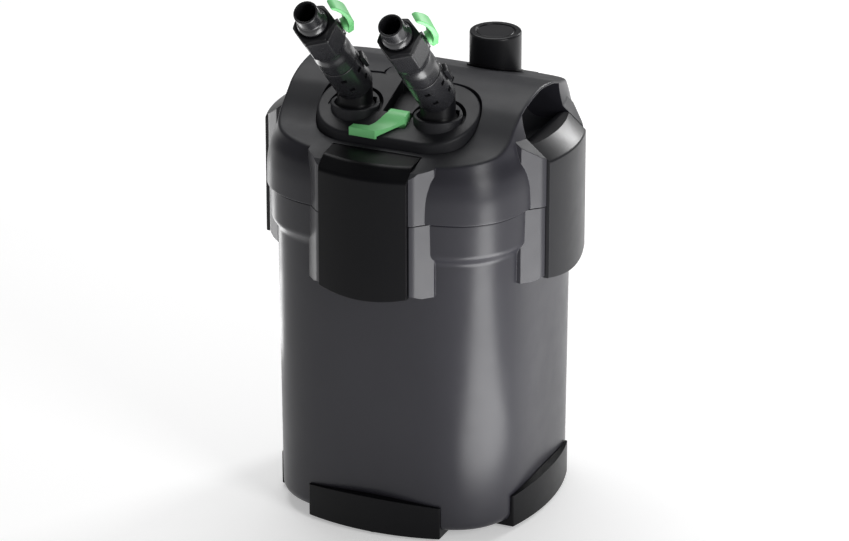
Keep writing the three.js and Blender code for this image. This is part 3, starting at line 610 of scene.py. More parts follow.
def front_pocket(grow):
    out, z = FRONT_PIVOT["out"], FRONT_PIVOT["z"]
    return clamp_pocket(FRONT_PIVOT, grow, [
        (out - 3.3 - grow, POCKET["top"]), (out - 3.3 - grow, z + 3), (out + 2, z - 4.4 - grow),
        (103.4, 294.4 - grow), (POCKET["out"] - grow, 287.4 - grow), *pocket_mouth(grow),
    ])


def side_pocket(grow):
    out, z = SIDE_PIVOT["out"], SIDE_PIVOT["z"]
    return clamp_pocket(SIDE_PIVOT, grow, [
        (out - 6, POCKET["top"]), (out - 6, z + 6), (out, z), (106, 289.4 - grow),
        (POCKET["out"] - grow, 285.6 - grow), *pocket_mouth(grow),
    ])


def grip_recess(grow):
    floor = [(64, 309), (66, 303), (71, 298.8), (78, 297), (89, 298.5), (92, 299.5)]
    floor = rounded(floor, [0, 4, 5, 5, 3, 0], 4, closed=False)
    low = [(x - (grow if x < 68 else 0), z - grow) for x, z in floor]
    outline = [(64 - grow, 340)] + low + [(POCKET["far"], 299.5), (POCKET["far"], 340)]
    half = CLAMP_ROOM + grow
    return common(carried(outline, -half, half, "y"), under_deck(GRIP_ROOF - grow))


def adapter_height(y):
    return SOCKET["rim"] - 2.4 + (y - SOCKET["y"]) * ADAPTER_SLOPE


def adapter_outline(grow):
    """A stadium with a short tongue at the rear."""
    r = (ADAPTER["rear"] - ADAPTER["front"]) / 2
    y = (ADAPTER["rear"] + ADAPTER["front"]) / 2
    x = ADAPTER["half"] - r
    rear = y + r + grow
    base, tip, tip_y = 27 + grow, 25 + grow, -5 + grow
    tongue = rounded([(base, rear), (tip, tip_y), (-tip, tip_y), (-base, rear)], [2, 3, 3, 2], 4)
    right = arc(x, y, r + grow, -90, 90, 40)
    left = arc(-x, y, r + grow, 90, 270, 40)
    return right + tongue + left


def sloped(outline, low, high):
    """A block over an outline, between the adapter's plane shifted by low and by high."""
    rings = [[(x, y, adapter_height(y) + shift) for x, y in outline] for shift in (low, high)]
    return loft(rings)


def cover_bosses():
    plan = rounded(mirrored([(35.3, -112), (38.6, -110), (BOSS_HALF_WIDTH, -98), (BOSS_HALF_WIDTH, -86)]),
                   [0, 0, 3, 0, 0, 3, 0, 0], 5)
    made = []
    for turn, z in enumerate((293, 293.4, 293, 293.4)):
        chamfer = [(-116, SEAM - 1), (-70, SEAM - 1), (-70, z + 36.4), (-116, z - 1.4)]
        block = spun(common(carried(plan, SEAM, 330), carried(chamfer, -60, 60, "x")), 90 * turn)
        made.append(common(block, under_deck(0)))
    return made


def cover_skin():
    """The cover's outer form: walls rising to a humped deck, with a rounded edge between them."""
    edge, wall_steps, deck_steps = 2.4, 18, 26
    top = np.full(PLAN_POINTS, 310.0)
    for _ in range(12):
        top = deck_height(PLAN[:, 1] * head_half(top))
    rings = []
    for inset, rise in ((1.0, 0.0), (0.45, 0.2), (0.1, 0.6)):
        rings.append(level(HEAD_HALF - inset, SEAM + rise))
    for k in range(wall_steps):
        z = SEAM + 1.0 + (top - edge - SEAM - 1.0) * k / wall_steps
        rings.append(np.column_stack([PLAN * head_half(z)[:, None], z]))
    half = head_half(top)
    inner = half - edge
    wall_end = np.column_stack([PLAN * head_half(top - edge)[:, None], top - edge])
    corner = np.column_stack([PLAN * half[:, None], top])
    deck_start = np.column_stack([PLAN * inner[:, None], deck_height(PLAN[:, 1] * inner)])
    for k in range(7):
        t = k / 6
        rings.append(wall_end * (1 - t) ** 2 + corner * 2 * t * (1 - t) + deck_start * t * t)
    for k in range(1, deck_steps):
        plan = PLAN * (inner * (1 - k / deck_steps))[:, None]
        rings.append(np.column_stack([plan, deck_height(plan[:, 1])]))
    rings.append(np.column_stack([PLAN * 0.4, np.full(PLAN_POINTS, float(deck_height(0.0)))]))
    return loft(rings)



def side_openings(front=0, side=0, grip=0):
    """The four clamp pockets and the two grip recesses, each grown by a wall."""
    made = []
    for turn in (-90, 0, 90, 180):
        made.append(spun(side_pocket(side) if turn % 180 == 0 else front_pocket(front), turn))
    return made + [grip_recess(grip), spun(grip_recess(grip), 180)]


def socket_rods(r, low, high):
    return [rod(side * SOCKET["x"], SOCKET["y"], r, low, high) for side in (1, -1)]


def head_cover():
    cover = join(cover_skin(), *cover_bosses())
    room = column([(h - WALL, z - (2 if z == SEAM else 0)) for z, h in HEAD])
    cavity = common(room, under_deck(ROOF))
    wall, gap = 3.5, 0.7
    cavity = cut(
        cavity, *side_openings(**POCKET_WALLS), sloped(adapter_outline(wall), -ADAPTER["thick"] - wall, 60),
        *socket_rods(SOCKET["outer"] - 3, 296, 330),
    )
    cover = cut(
        cover, cavity, *side_openings(), sloped(adapter_outline(gap), -ADAPTER["thick"] - 0.5, 60),
        *socket_rods(14.3, 280, 330), rod_at(PRIME, PRIME["well"] + 0.3, 290, 345),
        bar((GLAND["x"], 70, GLAND["z"]), (GLAND["x"], 125, GLAND["z"]), GLAND["r"] + 0.3),
    )
    for pivot, turn in CLAMP_TURNS.values():
        cover = cut(cover, spun(pivot_bar(pivot, CLAMP_HALF + 2.6, PIN_HOLE), turn))
    return cover


piece("head_cover", head_cover(), BODY, "head", ["head_housing"], 30, TEXTURED)


# ---------------- clamps
def clamp_hook(bow, bottom):
    """The lower end of a clamp's section, where it bears under the clip rails."""
    inner = 109.6 + bow * 0.6
    return [(109.8 + bow * 0.85, bottom), (104.2, bottom + 4), (104.2, bottom + 9), (inner, bottom + 14)]


def front_section(bow, bottom):
    out, z, r = FRONT_PIVOT["out"], FRONT_PIVOT["z"], FRONT_PIVOT["r"]
    face = [
        (out - 3, z + 4.5), (104 + bow, 301.7), (114 + bow, 293), (114 + bow, bottom),
        *clamp_hook(bow, bottom), (109.6 + bow * 0.6, 288), (103.6 + bow * 0.6, 295),
    ]
    return rounded(face, [0.4, 2.2, 2.2, 1.2, 0.6, 0.6, 1, 1, 1, 0], 4) + arc(out, z, r, -40, -200, 14)


def side_section(bow, bottom):
    out, z, r = SIDE_PIVOT["out"], SIDE_PIVOT["z"], SIDE_PIVOT["r"]
    face = [
        (100 + bow, 305), (114.4 + bow, 293), (114.4 + bow, bottom),
        *clamp_hook(bow, bottom), (109.6 + bow * 0.6, 286), (106.4, 290),
    ]
    return rounded(face, [0.8, 1.4, 1.2, 0.6, 0.6, 1, 1, 1, 0], 4) + arc(out, z, r, -38, -272, 26)


def clamp(section, pivot, turn):
    layers, steps = [], 32
    for i in range(steps + 1):
        lateral = CLAMP_HALF * (2 * i / steps - 1)
        rise = 1 - (lateral / CLAMP_HALF) ** 2
        outline = section(CLAMP_BULGE * rise, CLAMP_BOTTOM - 4 * rise)
        layers.append([(u, lateral, v) for u, v in outline])
    return spun(cut(loft(layers), pivot_bar(pivot, 60, PIN_HOLE)), turn)


for side, (pivot, turn) in CLAMP_TURNS.items():
    # The front and back clips take the darker black_plastic and the side clips the lighter satin_black: the
    # front clips' darkness is painted shade and the side clips' lighter tone is painted light.
    section, look = (front_section, BLACK) if pivot is FRONT_PIVOT else (side_section, SATIN)
    node = f"clamp_{side}"
    piece(f"clip_{side}", clamp(section, pivot, turn), look, node, [node], 25)
    pin = pivot_bar(pivot, CLAMP_HALF + 2.2, 2.0, 32)
    piece(f"clip_pin_{side}", spun(softened(pin, 0.3), turn), STEEL, "head", [f"clamp_pin_{side}"])


# ---------------- hose adapter
def adapter_plate():
    shifts = [(0, -ADAPTER["thick"]), (0, -2.2), (-0.25, -1.2), (-0.8, -0.45), (-1.5, -0.1), (-2.4, 0)]
    rings = [[(x, y, adapter_height(y) + z) for x, y in adapter_outline(grow)] for grow, z in shifts]
    proud = cut(box(-60, 60, -20, 5, 300, 350), under_deck(-0.25))
    plate = cut(loft(rings), proud)
    x, y, rim, outer, bore, floor = SOCKET.values()
    low = SPIGOT["bottom"]
    for side in (-1, 1):
        pocket = cut(rod(side * x, y, outer + 2.6, rim - 4, 345), rod(side * x, y, outer - 0.1, 300, 346))
        wall = rounded([(0, 300), (outer, 300), (outer, rim), (0, rim)], [0, 0, 0.9, 0], 4)
        above = sloped([(-90, -100), (90, -100), (90, 20), (-90, 20)], 0.1 - ADAPTER["thick"], 60)
        boss = common(turned(wall, side * x, y), above)
        spigot = [(0, low), (SPIGOT["outer"], low), (SPIGOT["outer"], floor), (0, floor)]
        plate = join(cut(plate, pocket), boss, turned(rounded(spigot, [0, 0.8, 0, 0], 3), side * x, y))
        mouth = [(0, floor), (bore, floor), (bore, rim), (bore + 1.2, rim + 1.2), (0, rim + 1.2)]
        mouth = turned(rounded(mouth, [0, 0, 0.4, 0, 0], 3), side * x, y)
        plate = cut(plate, mouth, rod(side * x, y, SPIGOT["bore"], 280, 316))
    well = sloped(rounded([(-10, -54), (10.5, -54), (10.5, -17.5), (-10, -17.5)], 1.2), -10, 60)
    room = box(-3, 14, LEVER_PIVOT[0] - 9, LEVER_PIVOT[0] + 7.6, 309.8, 345)
    pin = bar((-5.2, *LEVER_PIVOT), (16.2, *LEVER_PIVOT), LEVER_BORE, 24)
    return cut(plate, well, room, pin)


def rounded_section(width, low, high, r=1.1):
    points = [(-width / 2, low), (width / 2, low), (width / 2, high), (-width / 2, high)]
    return rounded(points, r, 4)


def release_lever():
    """A block on the pin, an arm that drops over the plate in an S and a finger tab with a lip."""
    left, right, rear = -2.4, 12.7, -56.4
    plan = [
        (right, -64), (right, rear), (left, rear), (left, -62.4), (-11.5, -75.5), (-23.5, -76.5),
        (-24.5, -82.5), (-3.5, -83.2), (4.6, -73.5),
    ]
    top = smooth_curve([
        (-84, 316.1), (-80, 316.2), (-76, 316.6), (-72, 317.5), (-69, 319.1), (-65.5, 321.9), (-63, 323.6),
        (-60.5, 324.4), (-56, 324.4),
    ])
    side = [(y, adapter_height(y) + 0.7) for y in (-56, -82.1)] + [(-82.1, 309.8), (-84, 309.8)]
    side += [(float(y), float(top(y))) for y in np.linspace(-84, -56, 41)]
    arm = common(carried(plan, 305, 330), carried(side, -30, 16, "x"))
    block = box(left, right, -64.4, rear, 312.6, 322)
    made = softened(join(arm, block), 0.8, 4, 40)
    return cut(made, bar((-10, *LEVER_PIVOT), (20, *LEVER_PIVOT), LEVER_BORE, 24))


piece("hose_adapter", adapter_plate(), PLATE, "adapter", ["adapter_plate"], 30)
piece("release_tab", release_lever(), GREEN, "release", ["release_lever"], 50)
pin = bar((-4.9, *LEVER_PIVOT), (15.9, *LEVER_PIVOT), 1.5, 24)
piece("release_axle", softened(pin, 0.2), STEEL, "adapter", ["release_pin"])


# ---------------- priming pump
def prime_well():
    floor, well, bore = PRIME["floor"], PRIME["well"], PRIME["bore"]
    profile = [(0, floor), (well, floor), (well, 340), (bore, 340), (bore, floor + 3), (0, floor + 3)]
    return common(turned(profile, PRIME["x"], PRIME["y"]), under_deck(-1.6))


def prime_button():
    r, top, skirt, inner = PRIME["r"], PRIME["top"], 306, PRIME["r"] - 2.2
    profile = [
        (0, top - 0.7), (13.4, top - 0.7), (13.9, top - 1.3), (14.6, top - 1.3), (15.1, top - 0.15), (r, top),
        (r, skirt), (inner, skirt), (inner, top - 3), (0, top - 3),
    ]
    profile = rounded(profile, [0, 0.2, 0.2, 0.2, 0.4, 1.9, 0.4, 0.3, 1, 0], 5)
    return turned(profile, PRIME["x"], PRIME["y"], 128)


def swept(path, r, sides=10):
    """A round wire along a path of points."""
    rings = []
    points = [Vector(p) for p in path]
    for i, here in enumerate(points):
        way = (points[min(i + 1, len(points) - 1)] - points[max(i - 1, 0)]).normalized()
        side = way.cross(Vector((0, 0, 1))).normalized()
        up = side.cross(way)
        angles = [2 * math.pi * k / sides for k in range(sides)]
        rings.append([here + (side * math.cos(a) + up * math.sin(a)) * r for a in angles])
    return loft(rings)


def prime_spring():
    turns, r, wire, low, high = 4.0, 11.0, 0.8, 272.6, 298.9
    steps = int(turns * 28)
    path = []
    for k in range(steps + 1):
        angle = 2 * math.pi * turns * k / steps
        z = low + wire + (high - low - 2 * wire) * k / steps
        path.append((PRIME["x"] + r * math.cos(angle), PRIME["y"] + r * math.sin(angle), z))
    return swept(path, wire)


piece("prime_cup", prime_well(), BLACK, "head", ["prime_well"])
piece("prime_cap", prime_button(), SATIN, "prime", ["prime_button"], 40)
spring = piece("prime_coil", prime_spring(), STEEL, "head", ["prime_spring"], 60)
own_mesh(spring)


# ---------------- hose valves
def spindle_way():
    """The ball's spindle in the arm's own frame, square to the arm."""
    outward = Vector((0.73, 0.55, 0.41))
    way = Matrix.Rotation(-TILT, 3, "X") @ outward
    way.z = 0
    return way.normalized()


WAY = spindle_way()
ACROSS = Vector((-WAY.y, WAY.x, 0))


def globe(r, height=0.0, steps=36, sides=96):
    """A sphere on the z axis."""
    turns = [math.radians(-90 + 180 * k / steps) for k in range(1, steps)]
    side = [(r * math.cos(a), height + r * math.sin(a)) for a in turns]
    return turned([(0, height - r), *side, (0, height + r)], sides=sides)


def elbow():
    low, disc = SOCKET["floor"] + 0.4, SOCKET["bore"] - 0.4
    profile = [(0, low), (disc, low), (disc, 321.6), (14.3, 322.6), (13.2, 324.4), (STEM, BEND), (0, BEND)]
    stem = turned(rounded(profile, [0, 0.4, 0.8, 0.8, 1.2, 0, 0], 4))
    knee = globe(STEM, BEND)
    way = Vector((0, -math.sin(TILT), math.cos(TILT)))
    start = Vector((0, 0, BEND))
    outer = join(stem, knee, bar(start, start + way * 45, NECK))
    return cut(outer, rod(0, 0, VALVE_BORE, 300, BEND), bar(start, start + way * 50, VALVE_BORE))


def window_row(z, width, height, first, deep=8.0):
    made = []
    for k in range(6):
        block = box(10, 10 + deep, -width / 2, width / 2, z - height / 2, z + height / 2)
        made.append(spun(block, 60 * k + first))
    return made


def sleeve():
    """The quick-release sleeve, with two rows of windows, saddled on the upright stem."""
    bore, throat = STEM + 0.5, NECK + 0.4
    profile = [(bore, 4), (BARREL + 0.2, 4), (BARREL + 0.2, 44), (throat, 44), (throat, 12), (bore, 9)]
    shell = turned(rounded(profile, [0.2, 0.8, 0.6, 0.2, 0.5, 0.5], 4))
    upright = bar((0, 0, 0), (0, -40, -40), STEM + 0.8)
    return cut(shell, upright, *window_row(18.5, 4.2, 4.2, 2), *window_row(33, 4.2, 4.2, -6))


def latch():
    low, high = BARREL + 0.5, BARREL + 3.5
    outline = [(low, 22.5), (high - 0.4, 22.5), (high, 24), (high, 36), (high - 1.3, 37.5), (low, 37.5)]
    tab = softened(carried(rounded(outline, 0.5, 3), -3.3, 3.3, "y"), 0.35, 2, 50)
    slots = [box(high - 0.8, high + 2, -2.2, 2.2, z, z + 1.4) for z in (25, 28, 31)]
    return spun(cut(tab, *slots), 33)


def hexagon(r):
    return rounded(arc(0, 0, r, 0, 300, 5), 1.1, 4)


def valve_body():
    """A round barrel that swells smoothly into a hexagon."""
    angles = [math.radians(2.5 * k) for k in range(144)]
    sixth = math.pi / 3
    flats = [min(HEX_FLAT / math.cos((a - HEX_TURN) % sixth - sixth / 2), HEX_CORNER) for a in angles]
    waist = smooth_curve([(44, BARREL), (56, BARREL), (66, 13.2), (80, 13.2)])
    rings = []
    lower, upper = [(44.3, 0.6), (44.5, 0.2), (44.9, 0)], [(94.7, 0), (95.5, 0.8)]
    for z, inset in [*lower, *[(52 + k, 0) for k in range(26)], *upper]:
        t = min(max((z - 66) / 9, 0), 1)
        t = t * t * (3 - 2 * t)
        reach = [float(waist(z)) * (1 - t) + flat * t - inset for flat in flats]
        rings.append([(r * math.cos(a), r * math.sin(a), z) for r, a in zip(reach, angles)])
    middle = Vector((0, 0, BALL_AT))
    hub = bar(middle, middle + WAY * 16.2, 6.6)
    spindle = bar(middle, middle + WAY * 30, 3.4, 32)
    made = join(loft(rings), softened(hub, 0.5))
    return cut(made, rod(0, 0, VALVE_BORE, 30, 70), rod(0, 0, 10, 69, 100), spindle)


def ball():
    made = cut(globe(BALL_R, steps=30, sides=48), bar((0, 0, -12), (0, 0, 12), VALVE_BORE - 1))
    return shifted(made, 0, 0, BALL_AT)


def valve_lever():
    """A round hub on the spindle and a thin arched handle, drawn with x across, y along and z away."""
    handle_line = [
        (-7, 19.6, 9, 5), (-2, 20.6, 11, 5), (3, 22, 13.5, 4.6), (9, 23.6, 14.5, 4.2), (15, 23.8, 13.5, 3.8),
        (22, 22.8, 11.5, 3.4), (29, 20.3, 9.8, 3.2), (34, 17.6, 9.2, 3.2),
    ]
    at = range(len(handle_line))
    columns = [smooth_curve(list(zip(at, column))) for column in zip(*handle_line)]
    rings, steps = [], 40
    for k in range(steps + 1):
        t = (len(handle_line) - 1) * k / steps
        y, z, width, thick = (float(column(t)) for column in columns)
        inset = {0: 0.9, 1: 0.3, steps - 1: 0.3, steps: 0.9}.get(k, 0.0)
        reach = thick / 2 - inset * 0.8
        section = rounded_section(width - 2 * inset, z - reach, z + reach, 0.9)
        rings.append([(u, y, v) for u, v in section])
    hub = turned(rounded([(0, 16.8), (5.6, 16.8), (5.6, 21.6), (0, 21.6)], [0, 0.4, 0.9, 0], 4), sides=64)
    stem = rod(0, 0, 3.1, 9.9, 18.5, 32)
    made = join(loft(rings), hub, stem)
    frame_of_lever = Matrix((
        (ACROSS.x, 0, WAY.x, 0), (ACROSS.y, 0, WAY.y, 0), (ACROSS.z, 1, WAY.z, BALL_AT), (0, 0, 0, 1),
    ))
    return moved(made, frame_of_lever)


def nut():
    low, high = 95.8, 102.5
    dome = [(0, 94), (16.2, 94), (16.2, 99.4), (12.9, high), (0, high)]
    dome = turned(rounded(dome, [0, 0, 0.8, 0.8, 0], 4))
    made = common(spun(carried(hexagon(HEX_CORNER), low, high), math.degrees(HEX_TURN)), dome)
    return cut(made, rod(0, 0, 11.7, 94, 104))


def nozzle():
    profile = [
        (VALVE_BORE, 89.6), (9.7, 89.6), (9.7, 95.6), (11.4, 95.6), (11.4, 104.6), (10.4, 107.4),
        (9.2, 108.6), (9.2, 119.3), (8.8, 120), (VALVE_BORE, 120),
    ]
    return turned(rounded(profile, [0, 0, 0, 0.3, 1.2, 1, 1, 0.3, 0.3, 0.3], 4))


def leaned(made, x):
    arm = Matrix.Translation((x, SOCKET["y"], BEND)) @ Matrix.Rotation(TILT, 4, "X")
    return moved(made, arm)


VALVE_PIECES = [
    ("sleeve", sleeve, GLOSS, "valve", "valve_sleeve", "gloss_black", 35),
    ("latch", latch, SATIN, "valve", "valve_latch", "gloss_black", 35),
    ("tap_body", valve_body, GLOSS, "valve", "valve_body", "gloss_black", 30),
    ("tap_ball", ball, INNER, "lever", "valve_ball", "inner_plastic", 40),
    ("tap_lever", valve_lever, GREEN, "lever", "valve_lever", "green_plastic", 45),
    ("nut_ring", nut, BLACK, "nut", "hose_nut", "gloss_black", 30),
    ("hose_tail", nozzle, GLOSS, "valve", "hose_nozzle", "gloss_black", 30),
]
for side, x in (("left", -SOCKET["x"]), ("right", SOCKET["x"])):
    made = shifted(elbow(), x, SOCKET["y"])
    piece(f"elbow_{side}", made, BLACK, f"valve_{side}", [f"valve_elbow_{side}"], 35)
    for name, make, look, body, node, slot, sharp in VALVE_PIECES:
        made = leaned(make(), x)
        piece(f"{name}_{side}", made, look, f"{body}_{side}", [f"{node}_{side}"], sharp)


# ---------------- baskets and media
def basket_floor(tier):
    return BASKET["bottom"] + tier * BASKET["pitch"]


def basket(tier):
    half, height, wall = BASKET["half"], BASKET["height"], BASKET["wall"]
    low = basket_floor(tier)
    top = low + height
    outer = [(70, low), (half - 1.6, low), (half - 0.1, top - 6), (half, top)]
    outer = rounded(outer, [0, 5, 2, 0.4], 5, closed=False)
    inner = [(half - 4.4, low + 2.5), (half - wall, top + 3)]
    shell = cut(column(outer), column(inner))
    well = rod_at(INTAKE, INTAKE["r"], low, top - 0.5)
    cuts = [rod_at(INTAKE, INTAKE["bore"], low - 1, top + 3)]
    for y in range(-72, 73, 12):
        for x in range(-60, 61, 24):
            near_well = math.hypot(x - INTAKE["x"], y - INTAKE["y"]) < INTAKE["r"] + 13
            if not near_well and math.hypot(x, y) < 86:
                slot = [(x - 9, y - 3), (x + 9, y - 3), (x + 9, y + 3), (x - 9, y + 3)]
                cuts.append(carried(rounded(slot, 2.5, 3), low - 1, low + 3))
    return cut(join(shell, well), *cuts)


def pad(tier, low, high, bulge):
    """A soft block that fills its basket: crowned top, rounded edges and a hole for the intake."""
    low, high = basket_floor(tier) + low + 0.4, basket_floor(tier) + high
    half, edge, flare, crown_steps = BASKET["half"] - 5.6, 3, 1.6, 18
    quarter = [math.radians(90 * k / 4) for k in range(5)]
    rings = [level(half - edge + edge * math.sin(a), low + edge - edge * math.cos(a)) for a in quarter]
    for k in range(1, 5):
        rings.append(level(half + flare * k / 5, low + edge + (high - low - 2 * edge) * k / 5))
    crown = half + flare - edge
    rings += [level(crown + edge * math.cos(a), high - edge + edge * math.sin(a)) for a in quarter]
    for k in range(1, crown_steps):
        share = 1 - k / crown_steps
        rings.append(level(crown * share, high - bulge * (1 - share ** 2) * 0.5))
    return cut(loft(rings), rod_at(INTAKE, INTAKE["r"] + 1.2, 0, 300))


def ruffled(made, depth, grain):
    """Moves the surface in and out by smooth noise, so that a pad looks like cut foam or fibre."""
    texture = bpy.data.textures.new("ruffle", "CLOUDS")
    texture.noise_scale = grain
    texture.noise_depth = 2
    modifier = made.modifiers.new("ruffle", "DISPLACE")
    modifier.texture = texture
    modifier.strength = depth
    modifier.mid_level = 0.9
    return settle(made)


def ceramic_rings(low, high):
    """Short ceramic tubes thrown into a basket, kept apart on a jittered grid."""
    chance = random.Random(7)
    half = BASKET["half"] - 14
    verts, faces = [], []
    sides, r, bore, end, edge = 18, 6.4, 3.1, 6.5, 0.6
    outer = [(r - 0.5, -end), (r, -end + edge), (r, end - edge), (r - 0.5, end)]
    profile = [(bore, -end), *outer, (bore, end)]
    for layer in range(4):
        z = low + 8.4 + layer * (high - low - 16.6) / 3
        for i in range(-5, 6):
            for j in range(-5, 6):
                x, y = i * 15.2 + (layer % 2) * 4, j * 15.2 + (layer % 2) * 3
                inside = (abs(x) / half) ** SQUARENESS + (abs(y) / half) ** SQUARENESS < 1
                if not inside or math.hypot(x - INTAKE["x"], y - INTAKE["y"]) < INTAKE["r"] + 10.5:
                    continue
                turn = Matrix.Rotation(chance.uniform(0, math.pi), 4, "Z")
                lean = Matrix.Rotation(chance.uniform(0.9, 2.2), 4, "X")
                place = Matrix.Translation((x, y, z + chance.uniform(-0.8, 0.8))) @ turn @ lean
                start = len(verts)
                for radius, at in profile:
                    for k in range(sides):
                        a = 2 * math.pi * k / sides
                        verts.append(place @ Vector((radius * math.cos(a), radius * math.sin(a), at)))
                for ring in range(len(profile)):
                    for k in range(sides):
                        m = (k + 1) % sides
                        a, b = start + ring * sides, start + ((ring + 1) % len(profile)) * sides
                        faces.append((a + k, a + m, b + m, b + k))
    return mesh_of(verts, faces)


BASKETS = ("basket_lower", "basket_middle", "basket_upper")
for tier, body in enumerate(BASKETS):
    piece(f"tray_{tier + 1}", basket(tier), INNER, body, [body], 30)
sponge = ruffled(pad(0, MEDIA_FLOOR, MEDIA_TOP, 1.5), 1.0, 9.0)
coarse = piece("coarse_sponge", sponge, BLUE_FOAM, "basket_lower", ["coarse_foam"], 60)
tubes = ceramic_rings(basket_floor(1) + 2.6, basket_floor(1) + MEDIA_TOP)
piece("ceramic_tubes", tubes, CERAMIC, "basket_middle", ["ceramic_media"], 40)
sponge = ruffled(pad(2, MEDIA_FLOOR, FINE_TOP, 1.0), 0.8, 6.0)
fine = piece("fine_sponge", sponge, FINE_FOAM, "basket_upper", ["fine_foam"], 60)
fibre = ruffled(pad(2, FINE_TOP + 0.6, MEDIA_TOP, 3.0), 2.4, 5.0)
wool = piece("filter_wool", fibre, FLOSS, "basket_upper", ["floss_pad"], 80)


# ---------------- head: wet side
def head_base():
    low, top = 236, 258
    outer = [(60, low), (96.6, low), (97.8, low + 3), (97.8, top)]
    plug = column(rounded(outer, [0, 1.5, 1, 0], 4, closed=False))
    plug = cut(plug, column([(91.5, low - 3), (91.5, top - 6)]))
    flange = column([(101.2, 258.1), (101.2, 260.6)])
    groove = cut(column([(110, 243.4), (110, 247.6)]), column([(94.6, 243.4), (94.6, 247.6)]))
    x, y = SOCKET["x"], SOCKET["y"]
    well = rod_at(MOTOR, MOTOR["r"], top, MOTOR["top"] + 3)
    inlet = rounded([(0, 240), (17, 240), (17, 256), (0, 256)], [0, 0.8, 0, 0], 3)
    inlet = turned(inlet, INTAKE["x"], INTAKE["y"])
    ribs = [spun(box(-92, 92, -0.9, 0.9, 249.5, 253), angle) for angle in (0, 90)]
    clear = [rod_at(MOTOR, 28, 240, 254), rod(-x, y, 16.5, 240, 254), rod(x, y, 15, 239, 256)]
    ribs = [cut(rib, *[copied(c) for c in clear]) for rib in ribs]
    for c in clear:
        bpy.data.objects.remove(c)
    made = join(plug, flange, *socket_rods(14, top, 300), well, inlet, *ribs)
    return cut(
        made, groove, *socket_rods(11, 230, 310), rod(x, y, INTAKE["bore"], 230, 254),
        rod_at(MOTOR, MOTOR["bore"], 230, MOTOR["top"]),
    )


def head_seal():
    section = rounded([(94.95, 243.8), (98.15, 243.8), (98.15, 247.2), (94.95, 247.2)], 1.2, 4)
    return loft([level(half, z) for half, z in section], around=True)


def volute(grow, low, high):
    x, y = -SOCKET["x"], SOCKET["y"]
    mx, my = MOTOR["x"], MOTOR["y"]
    lean = math.atan2(y - my, x - mx)
    side = Vector((-math.sin(lean), math.cos(lean))) * (10 + grow)
    start, end = Vector((mx, my)), Vector((x, y))
    channel = carried([start + side, start - side, end - side, end + side], low, high)
    return join(rod(mx, my, 24.5 + grow, low, high), rod(x, y, 12.5 + grow, low, high), channel)


def impeller_cover():
    mx, my = MOTOR["x"], MOTOR["y"]
    low = 237.6
    cup = cut(volute(2.4, low, 251.7), volute(0, 240, 260), rod(mx, my, 11, 230, 245))
    spokes = [spun(box(-12, 12, -1.2, 1.2, low, 240.1), a) for a in (0, 60, 120)]
    bars = [shifted(spoke, mx, my) for spoke in spokes]
    hub = turned(rounded([(0, low), (5.5, low), (5.5, 241.6), (0, 241.6)], [0, 0.7, 0.3, 0], 3), mx, my)
    return cut(join(cup, hub, *bars), rod(mx, my, 3.9, 238.6, 250))


def impeller_wheel():
    r, low, vanes = 19, 242.2, 5
    parts = [rod(0, 0, r, 248, 249.6)]
    for k in range(vanes):
        vane = carried(rounded([(3.5, -0.8), (r, -0.8), (r, 0.8), (3.5, 0.8)], 0.4, 3), low, 248.2)
        parts.append(spun(vane, 360 / vanes * k))
    hub = turned(rounded([(0, low), (5, low), (5, 256.2), (0, 256.2)], [0, 0.6, 0.3, 0], 3))
    made = cut(join(hub, *parts), rod(0, 0, 1.9, 230, 260, 32))
    return shifted(made, MOTOR["x"], MOTOR["y"])


def gland():
    profile = [(3.9, 88), (7, 88), (7, 102.6), (9.5, 102.6), (9.5, 105), (6.6, 106.4), (6, 112), (3.9, 112)]
    made = turned(rounded(profile, [0, 0, 0, 0.6, 0.6, 0.8, 0.6, 0.3], 3), sides=64)
    made = moved(made, Matrix.Rotation(-math.pi / 2, 4, "X"))
    return shifted(made, GLAND["x"], 0, GLAND["z"])


piece("head_plate", head_base(), INNER, "head", ["head_base"], 30)
piece("lip_seal", head_seal(), RUBBER, "head", ["head_seal"], 40)
piece("pump_cover", impeller_cover(), INNER, "head", ["impeller_cover"], 30)
piece("pump_wheel", impeller_wheel(), INNER, "impeller", ["impeller_wheel"], 30)
rotor = softened(tube(MOTOR["x"], MOTOR["y"], 14.2, 1.9, 256.5, 283.2), 0.5)
piece("magnet", rotor, FERRITE, "impeller", ["rotor_magnet"])
coupling = softened(tube(INTAKE["x"], INTAKE["y"], INTAKE["bore"] - 0.3, 11.4, 221, 253.6), 0.6)
piece("intake_socket", coupling, INNER, "head", ["intake_coupling"])
piece("cable_bush", gland(), RUBBER, "head", ["cable_gland"], 40)
KEPT_NODES = {
    "stator": IRON, "bush_upper": RUBBER, "bush_lower": RUBBER, "shaft": CERAMIC, "prime_piston": INNER,
}
for node, look in KEPT_NODES.items():
    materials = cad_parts[node].data.materials
    materials.clear()
    materials.append(look)


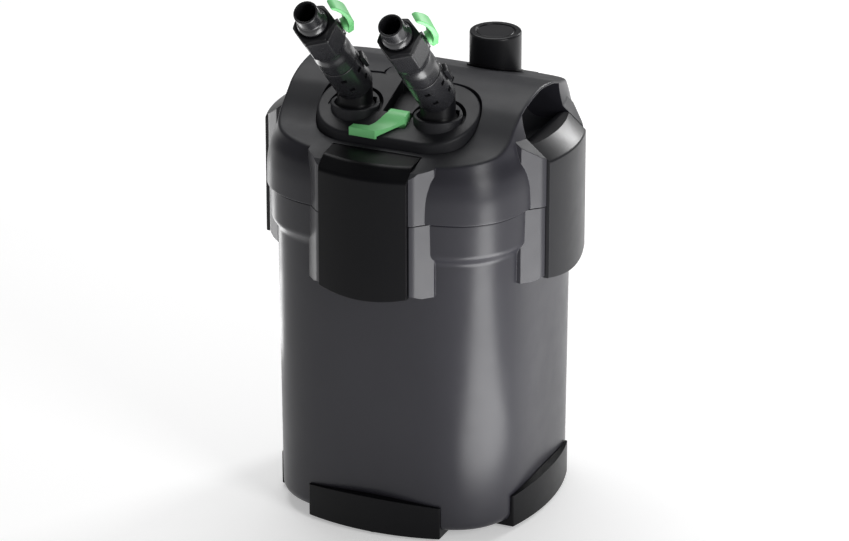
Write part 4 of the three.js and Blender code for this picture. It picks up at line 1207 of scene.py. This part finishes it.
# ---------------- floor and light
def floor_stage():
    mesh = bpy.data.meshes.new("floor")
    reach = 40
    corners = [(-reach, -reach, 0), (reach, -reach, 0), (reach, reach, 0), (-reach, reach, 0)]
    mesh.from_pydata(corners, [], [(0, 1, 2, 3)])
    floor = link(mesh, "floor")
    n = Nodes("floor_paper")
    n.feed(n.shader, Base_Color=n.mix(n.noise(3.0), (0.9, 0.9, 0.9), (0.93, 0.93, 0.93)))
    n.feed(n.shader, Roughness=n.ramp(n.noise(40.0), 0.85, 0.95))
    n.feed(n.shader, Specular_IOR_Level=0.1, Emission_Color=(1, 1, 1, 1), Emission_Strength=0.36)
    mesh.materials.append(n.material)


def area_light(name, power, size, place, aim, size_y=None):
    data = bpy.data.lights.new(name, "AREA")
    data.shape = "RECTANGLE"
    data.size, data.size_y = size, size_y or size
    data.energy = power
    light = bpy.data.objects.new(name, data)
    scene.collection.objects.link(light)
    light.location = place
    light.rotation_euler = (Vector(aim) - Vector(place)).to_track_quat("-Z", "Y").to_euler()
    light.visible_camera = False
    return light


def low_strip(name, power, azimuth, near, far, width):
    """A strip of light on the floor, pointing out from the middle, azimuth degrees right of the front."""
    turn, reach = math.radians(azimuth), (near + far) / 2
    place = (math.sin(turn) * reach, -math.cos(turn) * reach, 0.004)
    light = area_light(name, power, width, place, (place[0], place[1], 1), far - near)
    light.rotation_euler = (math.pi, 0, turn)


def studio():
    world = bpy.data.worlds.new("studio")
    scene.world = world
    world.use_nodes = True
    sky = world.node_tree.nodes["Background"].inputs
    sky["Color"].default_value = (1, 1, 1, 1)
    sky["Strength"].default_value = 0.14
    middle = (0, 0, 0.2)
    area_light("overhead", 20.0, 1.4, (-0.5, 0.7, 1.9), middle)
    area_light("right_front", 11.0, 0.6, (1.45, -0.75, 0.7), middle, 1.0)
    area_light("back", 12.0, 0.4, (0.65, 1.7, 1.0), (0.1, 0, 0.29))
    low_strip("right_low", 5.0, 65, 0.2, 1.0, 0.28)
    low_strip("left_low", 1.0, -113, 0.3, 1.0, 0.14)


floor_stage()
studio()
scene.view_settings.view_transform = "Standard"
